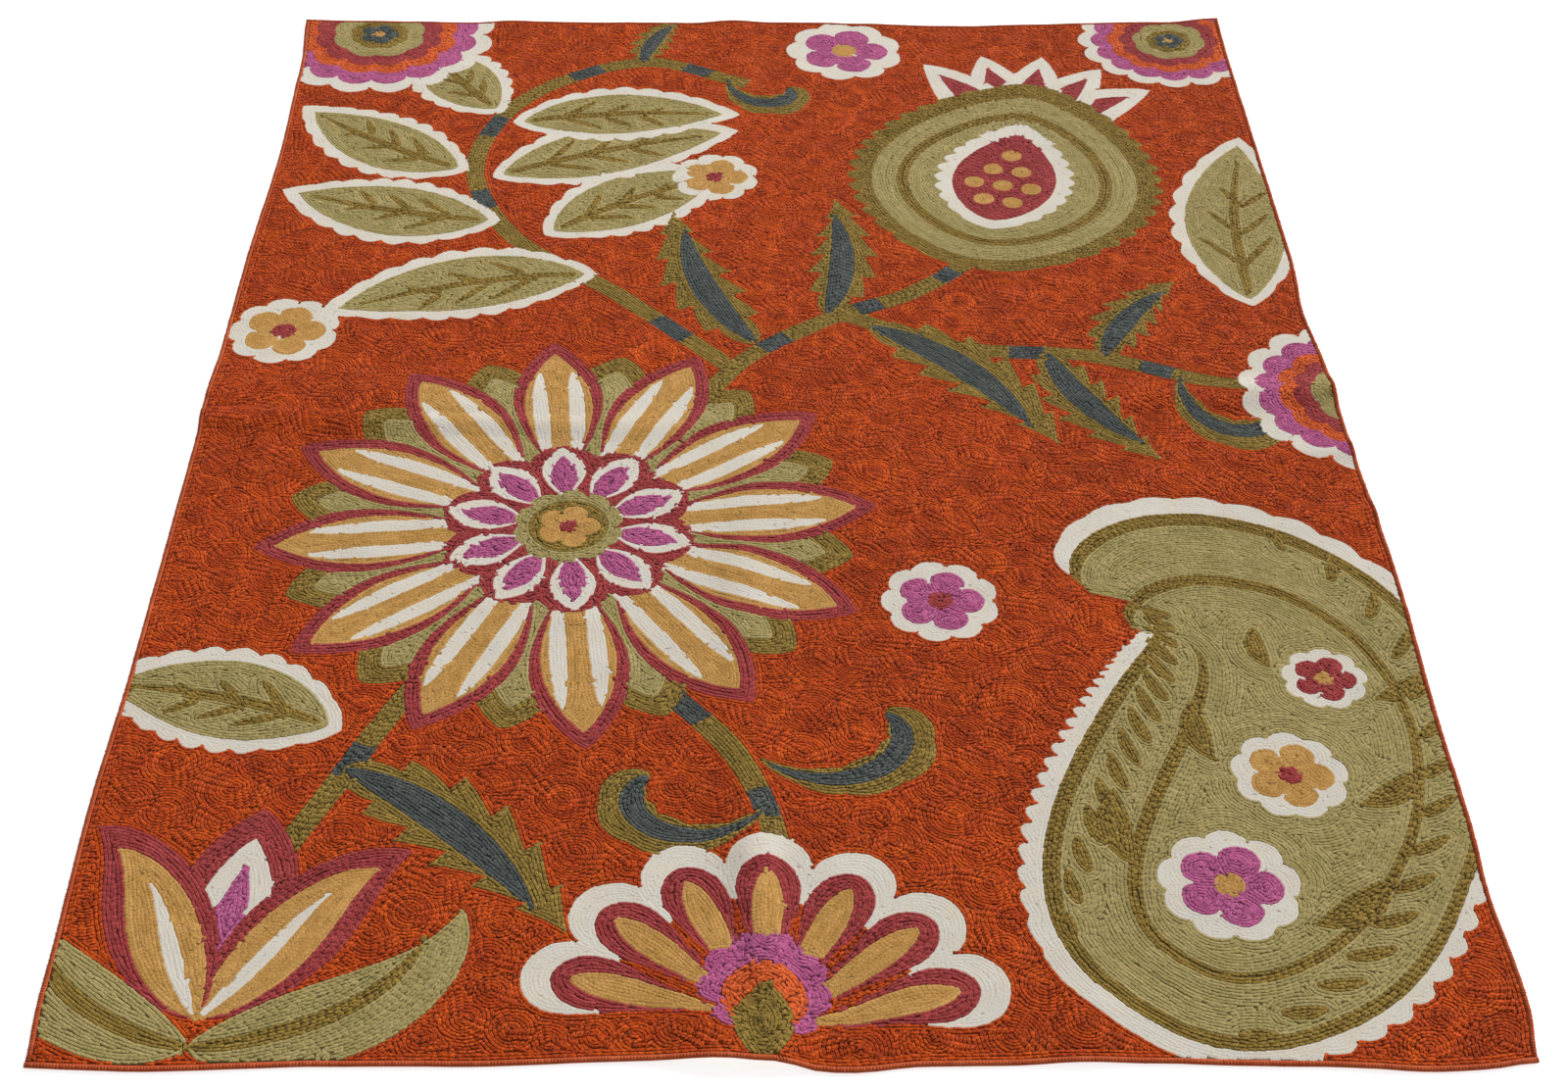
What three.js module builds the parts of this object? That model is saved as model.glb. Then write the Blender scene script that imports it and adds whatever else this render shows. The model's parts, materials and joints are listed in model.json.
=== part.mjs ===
// A chain-stitched wool rug, 5 by 7 feet, lying on a floor.
// The worked cloth is one sheet: a cotton canvas covered with rows of chain stitch.
// Its four edges are overcast with yarn, and each overcast edge is a piece of its own.
// Millimetres, +Z up. X runs across the rug, Y along it, and the floor is z = 0.
import * as THREE from "three";

// Driving dimensions
const WIDTH = 1524;
const LENGTH = 2134;
const THICKNESS = 5;
const BINDING_WIDTH = 7;
const SEAM_GAP = 0.3;
const HALF_WIDTH = WIDTH / 2;
const HALF_LENGTH = LENGTH / 2;
const CLOTH_HALF_WIDTH = HALF_WIDTH - BINDING_WIDTH - SEAM_GAP;
const CLOTH_HALF_LENGTH = HALF_LENGTH - BINDING_WIDTH - SEAM_GAP;

// The overcast edge is rounded outside: how far it is cut back, above and below
const BINDING_ROUND = 1.2;

// Soft folds left from storage. Each lifts the sheet along a line from one point to another.
// half: how far it reaches to each side, rise: its height at the two ends
const FOLDS = [
  { at: "front, near the middle", from: [-8, -1067], to: [-44, -600], half: 50, rise: [9.5, 4.5] },
  { at: "the same, further in", from: [-44, -600], to: [-30, -90], half: 54, rise: [4.5, 1] },
  { at: "its wide left flank", from: [-58, -1067], to: [-84, -900], half: 112, rise: [12, 1.5] },
  { at: "left, at half length", from: [-762, -18], to: [-110, -38], half: 48, rise: [10.5, 2.5] },
  { at: "its wide far flank", from: [-762, 28], to: [-240, 4], half: 118, rise: [9.5, 3] },
  { at: "right, at half length", from: [762, 42], to: [440, 18], half: 52, rise: [9.5, 2] },
  { at: "right, first pucker", from: [762, -84], to: [600, -112], half: 40, rise: [4.5, 1] },
  { at: "right, second pucker", from: [762, -214], to: [640, -236], half: 40, rise: [3.5, 1] },
  { at: "front, right of the middle", from: [300, -1067], to: [322, -900], half: 70, rise: [3.5, 0.5] },
  { at: "back, left of the middle", from: [-60, 1067], to: [-52, 900], half: 70, rise: [5, 0.5] },
  { at: "back, left", from: [-420, 1067], to: [-440, 930], half: 80, rise: [3.5, 0.5] },
  { at: "back right corner", from: [762, 1067], to: [700, 960], half: 90, rise: [6, 0.5] },
  { at: "back left corner", from: [-762, 1067], to: [-690, 980], half: 84, rise: [4.5, 0.5] },
];
// How far a fold runs on past its inner end before it is flat
const FOLD_RUN_OUT = 70;

// How far each edge strays from the straight, outwards when positive.
// place: where along the edge, reach: how far it takes to die out to each side
const SWAYS = {
  left: [
    { place: 1067, reach: 170, out: 10 },
    { place: 640, reach: 330, out: -6 },
    { place: -720, reach: 260, out: 4 },
    { place: -1067, reach: 90, out: -5 },
  ],
  right: [
    { place: 225, reach: 150, out: -8 },
    { place: -330, reach: 320, out: 6 },
    { place: -850, reach: 130, out: -5 },
    { place: -1067, reach: 80, out: -9 },
  ],
  front: [
    { place: -640, reach: 200, out: 6 },
    { place: -150, reach: 190, out: -6 },
    { place: 62, reach: 90, out: 8 },
    { place: 340, reach: 220, out: -4 },
    { place: 650, reach: 130, out: 6 },
    { place: 762, reach: 60, out: -5 },
  ],
  back: [
    { place: -660, reach: 160, out: 5 },
    { place: -110, reach: 120, out: -3 },
    { place: 330, reach: 330, out: -13 },
    { place: 762, reach: 120, out: 4 },
  ],
};
// An edge's stray fades towards the middle of the rug with this power of the distance from it
const SWAY_FADE = 4;

// Mesh lines: close together over the two main folds, wider apart elsewhere
const FINE_STEP = 21;
const COARSE_STEP = 47;
const FINE_ACROSS = { centre: -28, reach: 60 };
const FINE_ALONG = { centre: 10, reach: 75 };

// Colours: the red-orange ground yarn, and the average of the worked flowers and ground
const YARN_ROUGHNESS = 0.9;
const CLOTH_COLOUR = 0xa0552c;
const BINDING_COLOUR = 0xa9461f;

// A smooth bump: 1 at distance 0, 0 from reach outwards
function bump(distance, reach) {
  const t = Math.min(1, Math.abs(distance) / reach);
  return (0.5 + 0.5 * Math.cos(Math.PI * t)) ** 1.3;
}

// How high the sheet's underside lies above the floor
function lift(x, y) {
  let height = 0;
  for (const fold of FOLDS) {
    const [x0, y0] = fold.from;
    const runX = fold.to[0] - x0;
    const runY = fold.to[1] - y0;
    const length = Math.hypot(runX, runY);
    const along = ((x - x0) * runX + (y - y0) * runY) / length;
    const aside = ((y - y0) * runX - (x - x0) * runY) / length;
    const t = Math.min(1, Math.max(0, along / length));
    const past = Math.max(0, along - length, -along);
    const rise = fold.rise[0] + (fold.rise[1] - fold.rise[0]) * t;
    const raised = rise * bump(aside, fold.half) * bump(past, FOLD_RUN_OUT);
    height = Math.max(height, raised);
  }
  return height;
}

// How far an edge strays outwards at a place along it
function sway(edge, place) {
  let out = 0;
  for (const part of SWAYS[edge]) out += part.out * bump(place - part.place, part.reach);
  return out;
}

// Where a point of the flat, straight-edged rug lies on the real one
function laid(x, y, z) {
  const acrossEdge = x < 0 ? "left" : "right";
  const alongEdge = y < 0 ? "front" : "back";
  const outX = sway(acrossEdge, y) * Math.abs(x / HALF_WIDTH) ** SWAY_FADE;
  const outY = sway(alongEdge, x) * Math.abs(y / HALF_LENGTH) ** SWAY_FADE;
  return [x + Math.sign(x) * outX, y + Math.sign(y) * outY, z + lift(x, y)];
}

// Mesh lines from -half to half, close together near fine.centre
function meshLines(half, fine) {
  const lines = [-half];
  while (lines.at(-1) < half) {
    const apart = Math.abs(lines.at(-1) - fine.centre) / fine.reach;
    const share = Math.min(1, Math.max(0, apart - 1));
    lines.push(lines.at(-1) + FINE_STEP + (COARSE_STEP - FINE_STEP) * share);
  }
  const stretch = (2 * half) / (lines.at(-1) + half);
  return lines.map((line) => -half + (line + half) * stretch);
}

// A closed solid over a grid of flat places, between a low and a high face.
// Each face is a grid of points, and four walls join their rims.
function slab(xs, ys, lowAt, highAt) {
  const points = [];
  const columns = xs.length;
  const face = xs.length * ys.length;
  for (const heightAt of [lowAt, highAt]) {
    ys.forEach((y, j) => xs.forEach((x, i) => points.push(...laid(x, y, heightAt(i, j)))));
  }
  const index = [];
  const quad = (a, b, c, d) => index.push(a, b, c, a, c, d);
  const low = (i, j) => j * columns + i;
  const high = (i, j) => face + low(i, j);
  const lastX = xs.length - 1;
  const lastY = ys.length - 1;
  for (let j = 0; j < lastY; j += 1) {
    for (let i = 0; i < lastX; i += 1) {
      quad(high(i, j), high(i + 1, j), high(i + 1, j + 1), high(i, j + 1));
      quad(low(i, j), low(i, j + 1), low(i + 1, j + 1), low(i + 1, j));
    }
    quad(low(0, j), high(0, j), high(0, j + 1), low(0, j + 1));
    quad(low(lastX, j), low(lastX, j + 1), high(lastX, j + 1), high(lastX, j));
  }
  for (let i = 0; i < lastX; i += 1) {
    quad(low(i, 0), low(i + 1, 0), high(i + 1, 0), high(i, 0));
    quad(low(i, lastY), high(i, lastY), high(i + 1, lastY), low(i + 1, lastY));
  }
  const geometry = new THREE.BufferGeometry();
  geometry.setAttribute("position", new THREE.Float32BufferAttribute(points, 3));
  geometry.setIndex(index);
  geometry.computeVertexNormals();
  return geometry;
}

function yarn(colour) {
  return new THREE.MeshStandardMaterial({ color: colour, roughness: YARN_ROUGHNESS, metalness: 0 });
}

function piece(name, geometry, material) {
  const mesh = new THREE.Mesh(geometry, material);
  mesh.name = name;
  return mesh;
}

// The worked cloth: one sheet of even thickness
function cloth() {
  const xs = meshLines(CLOTH_HALF_WIDTH, FINE_ACROSS);
  const ys = meshLines(CLOTH_HALF_LENGTH, FINE_ALONG);
  const geometry = slab(xs, ys, () => 0, () => THICKNESS);
  return piece("cloth", geometry, yarn(CLOTH_COLOUR));
}

// The three lines of an overcast edge, from the cloth outwards: the last is cut back, above and below
const BINDING_LINES = [0, BINDING_WIDTH - BINDING_ROUND, BINDING_WIDTH];
const BINDING_LOW = [0, 0, BINDING_ROUND];
const BINDING_HIGH = [THICKNESS, THICKNESS, THICKNESS - BINDING_ROUND];

// An overcast edge along X, at the front or the back, over the full width
function bindingAcross(name, side) {
  const xs = meshLines(HALF_WIDTH, FINE_ACROSS);
  const inner = HALF_LENGTH - BINDING_WIDTH;
  const order = side < 0 ? [2, 1, 0] : [0, 1, 2];
  const ys = order.map((k) => side * (inner + BINDING_LINES[k]));
  const geometry = slab(xs, ys, (i, j) => BINDING_LOW[order[j]], (i, j) => BINDING_HIGH[order[j]]);
  return piece(name, geometry, yarn(BINDING_COLOUR));
}

// An overcast edge along Y, at the left or the right, between the other two
function bindingAlong(name, side) {
  const ys = meshLines(CLOTH_HALF_LENGTH, FINE_ALONG);
  const inner = HALF_WIDTH - BINDING_WIDTH;
  const order = side < 0 ? [2, 1, 0] : [0, 1, 2];
  const xs = order.map((k) => side * (inner + BINDING_LINES[k]));
  const geometry = slab(xs, ys, (i) => BINDING_LOW[order[i]], (i) => BINDING_HIGH[order[i]]);
  return piece(name, geometry, yarn(BINDING_COLOUR));
}

const rug = new THREE.Group();
rug.add(cloth());
rug.add(bindingAcross("binding_front", -1));
rug.add(bindingAcross("binding_back", 1));
rug.add(bindingAlong("binding_left", -1));
rug.add(bindingAlong("binding_right", 1));

// The uneven edges shift the middle a little, so the rug is centred on the origin
const middle = new THREE.Box3().setFromObject(rug).getCenter(new THREE.Vector3());
for (const mesh of rug.children) mesh.geometry.translate(-middle.x, -middle.y, 0);

export default rug;
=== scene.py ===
# %% [markdown]
# # A chain-stitched suzani rug
# The real rug is a cotton canvas, five feet by seven, covered edge to edge with rows of wool chain stitch.
# A worker outlines each flower, fills it with rows that echo its outline, and then fills the ground with
# spiral coils of the same stitch. Nothing on it is printed: every line you see is a row of yarn.
# So the rug is built that way here. Each pair of stitches is its own small closed shape of eight triangles,
# laid along rows that are worked out from the outlines of the flowers.

# %% The frame from the CAD model
import json
import math

import bpy
import numpy as np
from mathutils.kdtree import KDTree
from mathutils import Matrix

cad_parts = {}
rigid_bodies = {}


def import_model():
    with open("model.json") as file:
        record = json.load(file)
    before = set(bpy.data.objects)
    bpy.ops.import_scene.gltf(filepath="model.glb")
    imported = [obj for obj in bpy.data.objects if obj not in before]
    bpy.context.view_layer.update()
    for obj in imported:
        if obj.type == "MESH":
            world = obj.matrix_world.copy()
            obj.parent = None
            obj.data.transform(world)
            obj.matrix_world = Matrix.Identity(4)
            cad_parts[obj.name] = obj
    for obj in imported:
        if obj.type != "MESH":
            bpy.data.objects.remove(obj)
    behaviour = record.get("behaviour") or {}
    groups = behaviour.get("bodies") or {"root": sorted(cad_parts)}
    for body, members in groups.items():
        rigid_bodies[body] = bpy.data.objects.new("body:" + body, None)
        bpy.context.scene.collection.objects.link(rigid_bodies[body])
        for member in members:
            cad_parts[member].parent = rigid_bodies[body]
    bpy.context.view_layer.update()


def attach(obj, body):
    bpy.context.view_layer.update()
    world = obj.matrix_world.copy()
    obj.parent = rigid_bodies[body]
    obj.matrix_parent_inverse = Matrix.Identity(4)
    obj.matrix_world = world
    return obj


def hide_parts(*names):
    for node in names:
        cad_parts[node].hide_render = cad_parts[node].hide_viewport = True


for thing in list(bpy.data.objects):
    bpy.data.objects.remove(thing)
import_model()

# %% [markdown]
# ## The photograph's camera
# The rug's four corners give the camera: it looks 41 degrees down from 1.92 m up, about where a tall person
# holds one. The photograph is cropped a little off its middle, which is a small sideways lens shift.

# %% Camera
PHOTO_WIDTH = 1600
FOCAL_PIXELS = 2382
LOOK_DOWN = math.radians(41)
EYE = (-0.045, -2.478, 1.917)
MIDDLE_COLUMN = 752
SENSOR = 36


def make_camera():
    """A camera at EYE that looks along +Y and LOOK_DOWN below the horizon."""
    data = bpy.data.cameras.new("camera")
    data.sensor_width = SENSOR
    data.lens = SENSOR * FOCAL_PIXELS / PHOTO_WIDTH
    data.shift_x = (PHOTO_WIDTH / 2 - MIDDLE_COLUMN) / PHOTO_WIDTH
    camera = bpy.data.objects.new("camera", data)
    camera.location = EYE
    camera.rotation_euler = (math.pi / 2 - LOOK_DOWN, 0, 0)
    bpy.context.collection.objects.link(camera)
    bpy.context.scene.camera = camera
    return camera


camera = make_camera()
print("lens", round(camera.data.lens, 1), "mm, shift", round(camera.data.shift_x, 3))

# %% [markdown]
# ## The rug's real sizes
# These are the driving dimensions. The worked rows are 4.1 mm apart and a stitch advances 4.3 mm, both
# counted in the photograph. Two stitches are modelled as one piece of yarn, 8.6 mm long. The canvas is most
# of the thickness, and the stitches stand on it.

# %% Driving dimensions, in metres
WIDTH = 1.524
LENGTH = 2.134
EDGE_WIDTH = 0.007
ROW = 0.0041
STITCH = 0.0086
CANVAS_TOP = 0.00295
HALF = np.array([WIDTH, LENGTH]) / 2
WORKED = HALF - EDGE_WIDTH

# %% [markdown]
# ## How the rug lies
# It was folded in four for storage, so a soft ridge runs in from the near edge and others come in from the
# sides, with small puckers at the rims. The edges are a few millimetres out of true, as handwork is.
# Both are tables of soft bumps, the same ones that the CAD solid has. Every piece is first worked out flat
# and then laid: moved by the edge's stray, and lifted by the folds.

# %% Folds and strays
# from x, y, to x, y, reach to each side, height at the two ends (all in millimetres)
FOLDS = [
    ((-8, -1067), (-44, -600), 50, (9.5, 4.5)),
    ((-44, -600), (-30, -90), 54, (4.5, 1)),
    ((-58, -1067), (-84, -900), 112, (12, 1.5)),
    ((-762, 28), (-240, 4), 118, (9.5, 3)),
    ((-762, -18), (-110, -38), 48, (10.5, 2.5)),
    ((762, 42), (440, 18), 52, (9.5, 2)),
    ((762, -84), (600, -112), 40, (4.5, 1)),
    ((762, -214), (640, -236), 40, (3.5, 1)),
    ((300, -1067), (322, -900), 70, (3.5, 0.5)),
    ((-60, 1067), (-52, 900), 70, (5, 0.5)),
    ((-420, 1067), (-440, 930), 80, (3.5, 0.5)),
    ((762, 1067), (700, 960), 90, (6, 0.5)),
    ((-762, 1067), (-690, 980), 84, (4.5, 0.5)),
]
FOLD_RUN_OUT = 70
# place along the edge, reach, how far out (millimetres)
SWAYS = {
    "left": [(1067, 170, 10), (640, 330, -6), (-720, 260, 4), (-1067, 90, -5)],
    "right": [(225, 150, -8), (-330, 320, 6), (-850, 130, -5), (-1067, 80, -9)],
    "front": [(-640, 200, 6), (-150, 190, -6), (62, 90, 8), (340, 220, -4), (650, 130, 6), (762, 60, -5)],
    "back": [(-660, 160, 5), (-110, 120, -3), (330, 330, -13), (762, 120, 4)],
}
SWAY_FADE = 4
MM = 0.001


def bump(distance, reach):
    """A raised cosine to the power 1.3: 1 at distance 0, and 0 from reach outwards."""
    t = np.minimum(1, np.abs(distance) / reach)
    return (0.5 + 0.5 * np.cos(np.pi * t)) ** 1.3


def lift(x, y):
    """How high the sheet is lifted at flat x, y: the highest of the folds there."""
    x, y = x / MM, y / MM
    height = np.zeros_like(x)
    for (x0, y0), (x1, y1), half, rise in FOLDS:
        length = math.hypot(x1 - x0, y1 - y0)
        along = ((x - x0) * (x1 - x0) + (y - y0) * (y1 - y0)) / length
        aside = ((y - y0) * (x1 - x0) - (x - x0) * (y1 - y0)) / length
        top = rise[0] + (rise[1] - rise[0]) * np.clip(along / length, 0, 1)
        past = np.maximum(0, np.maximum(along - length, -along))
        height = np.maximum(height, top * bump(aside, half) * bump(past, FOLD_RUN_OUT))
    return height * MM


def sway(edge, place):
    """How far an edge strays outwards at a place along it."""
    return sum(out * bump(place / MM - at, reach) for at, reach, out in SWAYS[edge]) * MM


def strayed(x, y):
    """Flat x, y moved by the strays of the edges, which fade towards the middle."""
    out_x = np.where(x < 0, sway("left", y), sway("right", y)) * np.abs(x / HALF[0]) ** SWAY_FADE
    out_y = np.where(y < 0, sway("front", x), sway("back", x)) * np.abs(y / HALF[1]) ** SWAY_FADE
    return x + np.sign(x) * out_x, y + np.sign(y) * out_y


def middle_of_edges():
    """The middle of the uneven outline, which the CAD model puts on the origin."""
    t = np.linspace(-1, 1, 2001)
    x = np.concatenate([strayed(side * HALF[0] + 0 * t, HALF[1] * t)[0] for side in (-1, 1)])
    y = np.concatenate([strayed(HALF[0] * t, side * HALF[1] + 0 * t)[1] for side in (-1, 1)])
    return (x.min() + x.max()) / 2, (y.min() + y.max()) / 2


MIDDLE = middle_of_edges()
PUCKERS = [
    # waves per metre along x and y, phase, share
    (9.3, 4.1, 0.4, 0.30),
    (-5.2, 10.4, 1.9, 0.28),
    (14.7, -8.3, 3.1, 0.22),
    (3.9, 15.8, 5.0, 0.20),
]
PUCKER_HEIGHT = 0.0016


def puckers(x, y):
    """The soft lumps of a hand-worked cloth, from 0 to PUCKER_HEIGHT: a sum of sine waves, squared to keep
    most of it low."""
    wave = sum(share * np.sin(2 * np.pi * (a * x + b * y) + phase) for a, b, phase, share in PUCKERS)
    return PUCKER_HEIGHT * (0.5 + 0.5 * wave) ** 2


def laid(x, y, z):
    """Points of the flat rug, z above its underside, where they lie on the real one: an (n, 3) array."""
    placed_x, placed_y = strayed(x, y)
    return np.stack([placed_x - MIDDLE[0], placed_y - MIDDLE[1], z + lift(x, y) + puckers(x, y)], axis=-1)


print("middle of the edges", [round(float(m) / MM, 2) for m in MIDDLE], "mm")

# %% [markdown]
# ## Yarns
# Nine wools, each one colour to start with. The finish adds the dye's unevenness later.
# The colours are written as 0 to 255 values, as on a colour chart, and turned linear for the shader.

# %% Yarn colours
YARNS = {
    "rust": (152, 53, 11),
    "coral": (169, 70, 29),
    "cream": (171, 166, 157),
    "light_olive": (128, 116, 70),
    "dark_olive": (113, 92, 39),
    "crimson": (124, 44, 45),
    "orchid": (143, 67, 105),
    "ochre": (151, 112, 57),
    "slate": (63, 68, 66),
}
YARN_NAMES = list(YARNS)


def linear(rgb):
    """A 0 to 255 screen colour as linear red, green, blue and alpha."""
    c = np.array(rgb) / 255
    flat = np.where(c < 0.04045, c / 12.92, ((c + 0.055) / 1.055) ** 2.4)
    return (*[float(v) for v in flat], 1.0)


print(len(YARNS), "yarns")

# %% [markdown]
# ## Outlines of the flowers
# Every figure is a closed outline that is filled with one yarn, and later figures cover earlier ones, as a
# worker fills the small shapes first and works the larger ones round them. Petals, leaves and the paisley are
# all one shape: a blade, which is a bent spine with a width that swells and tapers. Discs with lobes make
# blossoms and scalloped rims, and ribbons make the vines.

# %% Outline shapes
OUTLINE_STEP = 0.0012
figures = []


def even(points, step=OUTLINE_STEP):
    """A closed line of points, taken again at even steps, counterclockwise."""
    ring = np.vstack([points, points[:1]])
    reach = np.concatenate([[0], np.cumsum(np.hypot(*np.diff(ring, axis=0).T))])
    count = max(12, int(reach[-1] / step))
    at = np.linspace(0, reach[-1], count, endpoint=False)
    line = np.stack([np.interp(at, reach, ring[:, k]) for k in (0, 1)], axis=1)
    after = np.roll(line, -1, axis=0)
    turn = np.sum(line[:, 0] * after[:, 1] - after[:, 0] * line[:, 1])
    return line if turn > 0 else line[::-1]


def spine(base, heading, length, bend=0, curl=0):
    """Points along a bent line, and its heading there: the heading (degrees) turns by bend all along, and by
    curl t^4 near the tip."""
    t = np.linspace(0, 1, 240)
    turn = np.radians(heading + bend * (t - 0.5) + curl * t**4)
    run = length * np.diff(t, prepend=0)
    points = np.array(base) + np.stack([np.cumsum(run * np.cos(turn)), np.cumsum(run * np.sin(turn))], axis=1)
    return t, points, turn


def blade(base, heading, length, width, bend=0, curl=0, belly=0.5, fullness=0.8, teeth=0, lobes=0, bite=0.0):
    """A spine with a width. Half the width is sin(pi t^p)^fullness, widest where t is belly.
    Teeth cut it like a saw, and lobes are round; both are bite deep, as a share of the width."""
    t, points, turn = spine(base, heading, length, bend, curl)
    half = width / 2 * np.sin(np.pi * t ** (math.log(0.5) / math.log(belly))).clip(0) ** fullness
    if teeth:
        half = half * (1 - bite * ((teeth * t) % 1))
    if lobes:
        half = half * (1 - bite * (1 - np.abs(np.sin(np.pi * lobes * t))))
    aside = np.stack([-np.sin(turn), np.cos(turn)], axis=1) * half[:, None]
    return np.vstack([points - aside, (points + aside)[::-1]])


def disc(centre, radius, lobes=0, depth=0.0, turned=0, stretch=1.0):
    """A circle, or a ring of round lobes with notches depth deep (as a share of the radius) between them."""
    a = np.linspace(0, 2 * np.pi, 720, endpoint=False)
    r = radius * (1 - depth * (1 - np.abs(np.sin(lobes * a / 2)) ** 0.75)) if lobes else radius + 0 * a
    b = a + math.radians(turned)
    return np.array(centre) + np.stack([r * np.cos(b), stretch * r * np.sin(b)], axis=1)


def smooth_line(points, count=200):
    """A Catmull-Rom curve through a few points."""
    p = np.array(points, float)
    p = np.vstack([2 * p[0] - p[1], p, 2 * p[-1] - p[-2]])
    t = np.linspace(0, len(points) - 1 - 1e-9, count)
    k = t.astype(int)
    s = (t - k)[:, None]
    a, b, c, d = (p[k + j] for j in range(4))
    return 0.5 * (2 * b + (c - a) * s + (2 * a - 5 * b + 4 * c - d) * s**2 + (3 * b - a - 3 * c + d) * s**3)


def ribbon(points, width, start=0.0, stop=1.0, taper=0.0):
    """A stroke of even width along a smooth line, or one that narrows to its end by taper."""
    line = smooth_line(points)
    line = line[int(start * len(line)) : max(int(stop * len(line)), 2)]
    way = np.gradient(line, axis=0)
    way /= np.hypot(*way.T)[:, None]
    half = width / 2 * (1 - taper * np.linspace(0, 1, len(line)) ** 1.5)
    aside = np.stack([-way[:, 1], way[:, 0]], axis=1) * half[:, None]
    return np.vstack([line - aside, (line + aside)[::-1]])


def figure(yarn, outline):
    """Adds a filled figure on top of the earlier ones."""
    figures.append((YARN_NAMES.index(yarn), even(outline)))


def around(centre, count, radius=0.0, turned=0.0, first=0, last=None):
    """(base, heading) of each petal in a ring round a centre."""
    for k in range(first, count if last is None else last):
        heading = turned + 360 * k / count
        a = math.radians(heading)
        yield (centre[0] + radius * math.cos(a), centre[1] + radius * math.sin(a)), heading


def step_along(base, heading, distance, aside=0.0):
    """A point at a distance from base along a heading, and aside to its left."""
    a = math.radians(heading)
    ahead = (math.cos(a), math.sin(a))
    return base[0] + distance * ahead[0] - aside * ahead[1], base[1] + distance * ahead[1] + aside * ahead[0]


print("outline step", OUTLINE_STEP, "m")

# %% [markdown]
# ## The flowers and leaves
# These are common suzani figures: star rosettes, pomegranates, paisleys, serrated leaves, tulips, carnations
# and banded vines. Each is a function that draws it at a place, a heading and a size, largest shape first.

# %% Blossoms and leaves
def blossom(centre, radius, petals, petal, eye, turned=0):
    """A small open flower: round petals in a ring and a round eye."""
    for base, heading in around(centre, petals, 0.1 * radius, turned):
        figure(petal, blade(base, heading, 0.95 * radius, 0.84 * radius, belly=0.62, fullness=0.6))
    figure(eye, disc(centre, 0.3 * radius))


def ringed_blossom(centre, radius, rim, petal, eye, turned=0):
    """A blossom on a lobed disc."""
    figure(rim, disc(centre, radius, lobes=9, depth=0.12, turned=turned))
    blossom(centre, 0.72 * radius, 5, petal, eye, turned)


def long_leaf(base, heading, length, width, bend=0, lobes=9):
    """A broad leaf: a lobed cream edge, a light olive body, and a dark vein with its side veins."""
    first = heading - bend / 2
    figure("cream", blade(base, heading, length, width, bend, belly=0.46, lobes=lobes, bite=0.1))
    inner = step_along(base, first, 0.018)
    figure("light_olive", blade(inner, heading, length - 0.046, width - 0.046, bend * 0.9, belly=0.46))
    vein = step_along(base, first, 0.03)
    figure("dark_olive", blade(vein, heading, 0.78 * length, 0.0155, bend * 0.84, belly=0.3, fullness=0.4))
    for k in range(3):
        root = step_along(base, first + bend * (0.2 + 0.12 * k), (0.22 + 0.17 * k) * length)
        for lean in (-1, 1):
            way = heading + lean * 36 - bend * (0.3 - 0.25 * k)
            reach = 0.2 * length * (1 - 0.18 * k)
            figure("dark_olive", blade(root, way, reach, 0.0125, belly=0.4, fullness=0.4))


def saz_leaf(base, heading, length, width, bend=0, teeth=6):
    """A narrow serrated leaf, with a second yarn along its middle."""
    figure("dark_olive", blade(base, heading, length, width, bend, belly=0.4, teeth=teeth, bite=0.42))
    figure("slate", blade(base, heading, 0.86 * length, 0.36 * width, bend, belly=0.45, fullness=0.7))


def tendril(base, heading, length, bend):
    """A curled shoot that is thick at its curl."""
    shape = dict(belly=0.7, fullness=0.5)
    figure("dark_olive", blade(base, heading, length, 0.066, bend, bend * 0.9, lobes=5, bite=0.16, **shape))
    figure("slate", blade(base, heading, 0.92 * length, 0.028, bend, bend * 0.75, **shape))


def vine(points, bands, width=0.0287):
    """A stem with bands of a second yarn."""
    figure("dark_olive", ribbon(points, width))
    for k in range(bands):
        at = (k + 0.5) / bands
        figure("slate", ribbon(points, width, at - 0.12 / bands, at + 0.16 / bands))


# %% Large flowers and fruit
def rosette(centre, radius, turned=0):
    """A star flower: striped pointed petals over olive sepals, a ring of small petals, and an eye."""
    for base, heading in around(centre, 12, 0.3 * radius, turned + 15):
        figure("dark_olive", blade(base, heading, 0.64 * radius, 0.3 * radius, belly=0.6, fullness=0.7))
        figure("light_olive", blade(base, heading, 0.55 * radius, 0.19 * radius, belly=0.62, fullness=0.7))
    for base, heading in around(centre, 12, 0.26 * radius, turned):
        figure("crimson", blade(base, heading, 0.76 * radius, 0.31 * radius, belly=0.55))
        figure("ochre", blade(base, heading, 0.69 * radius, 0.235 * radius, belly=0.55))
        for lean in (-1, 1):
            root = step_along(base, heading, 0, lean * 0.038 * radius)
            way = heading + lean * 2
            stripe = blade(root, way, 0.58 * radius, 0.055 * radius, -lean * 10, belly=0.6, fullness=0.5)
            figure("cream", stripe)
    figure("crimson", disc(centre, 0.42 * radius, lobes=10, depth=0.14, turned=turned))
    for base, heading in around(centre, 10, 0.14 * radius, turned + 18):
        figure("cream", blade(base, heading, 0.27 * radius, 0.145 * radius, belly=0.55))
        figure("orchid", blade(base, heading, 0.225 * radius, 0.09 * radius, belly=0.55))
    figure("light_olive", disc(centre, 0.185 * radius, lobes=10, depth=0.12))
    figure("dark_olive", disc(centre, 0.13 * radius))
    blossom(centre, 0.1 * radius, 5, "ochre", "crimson")


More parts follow.
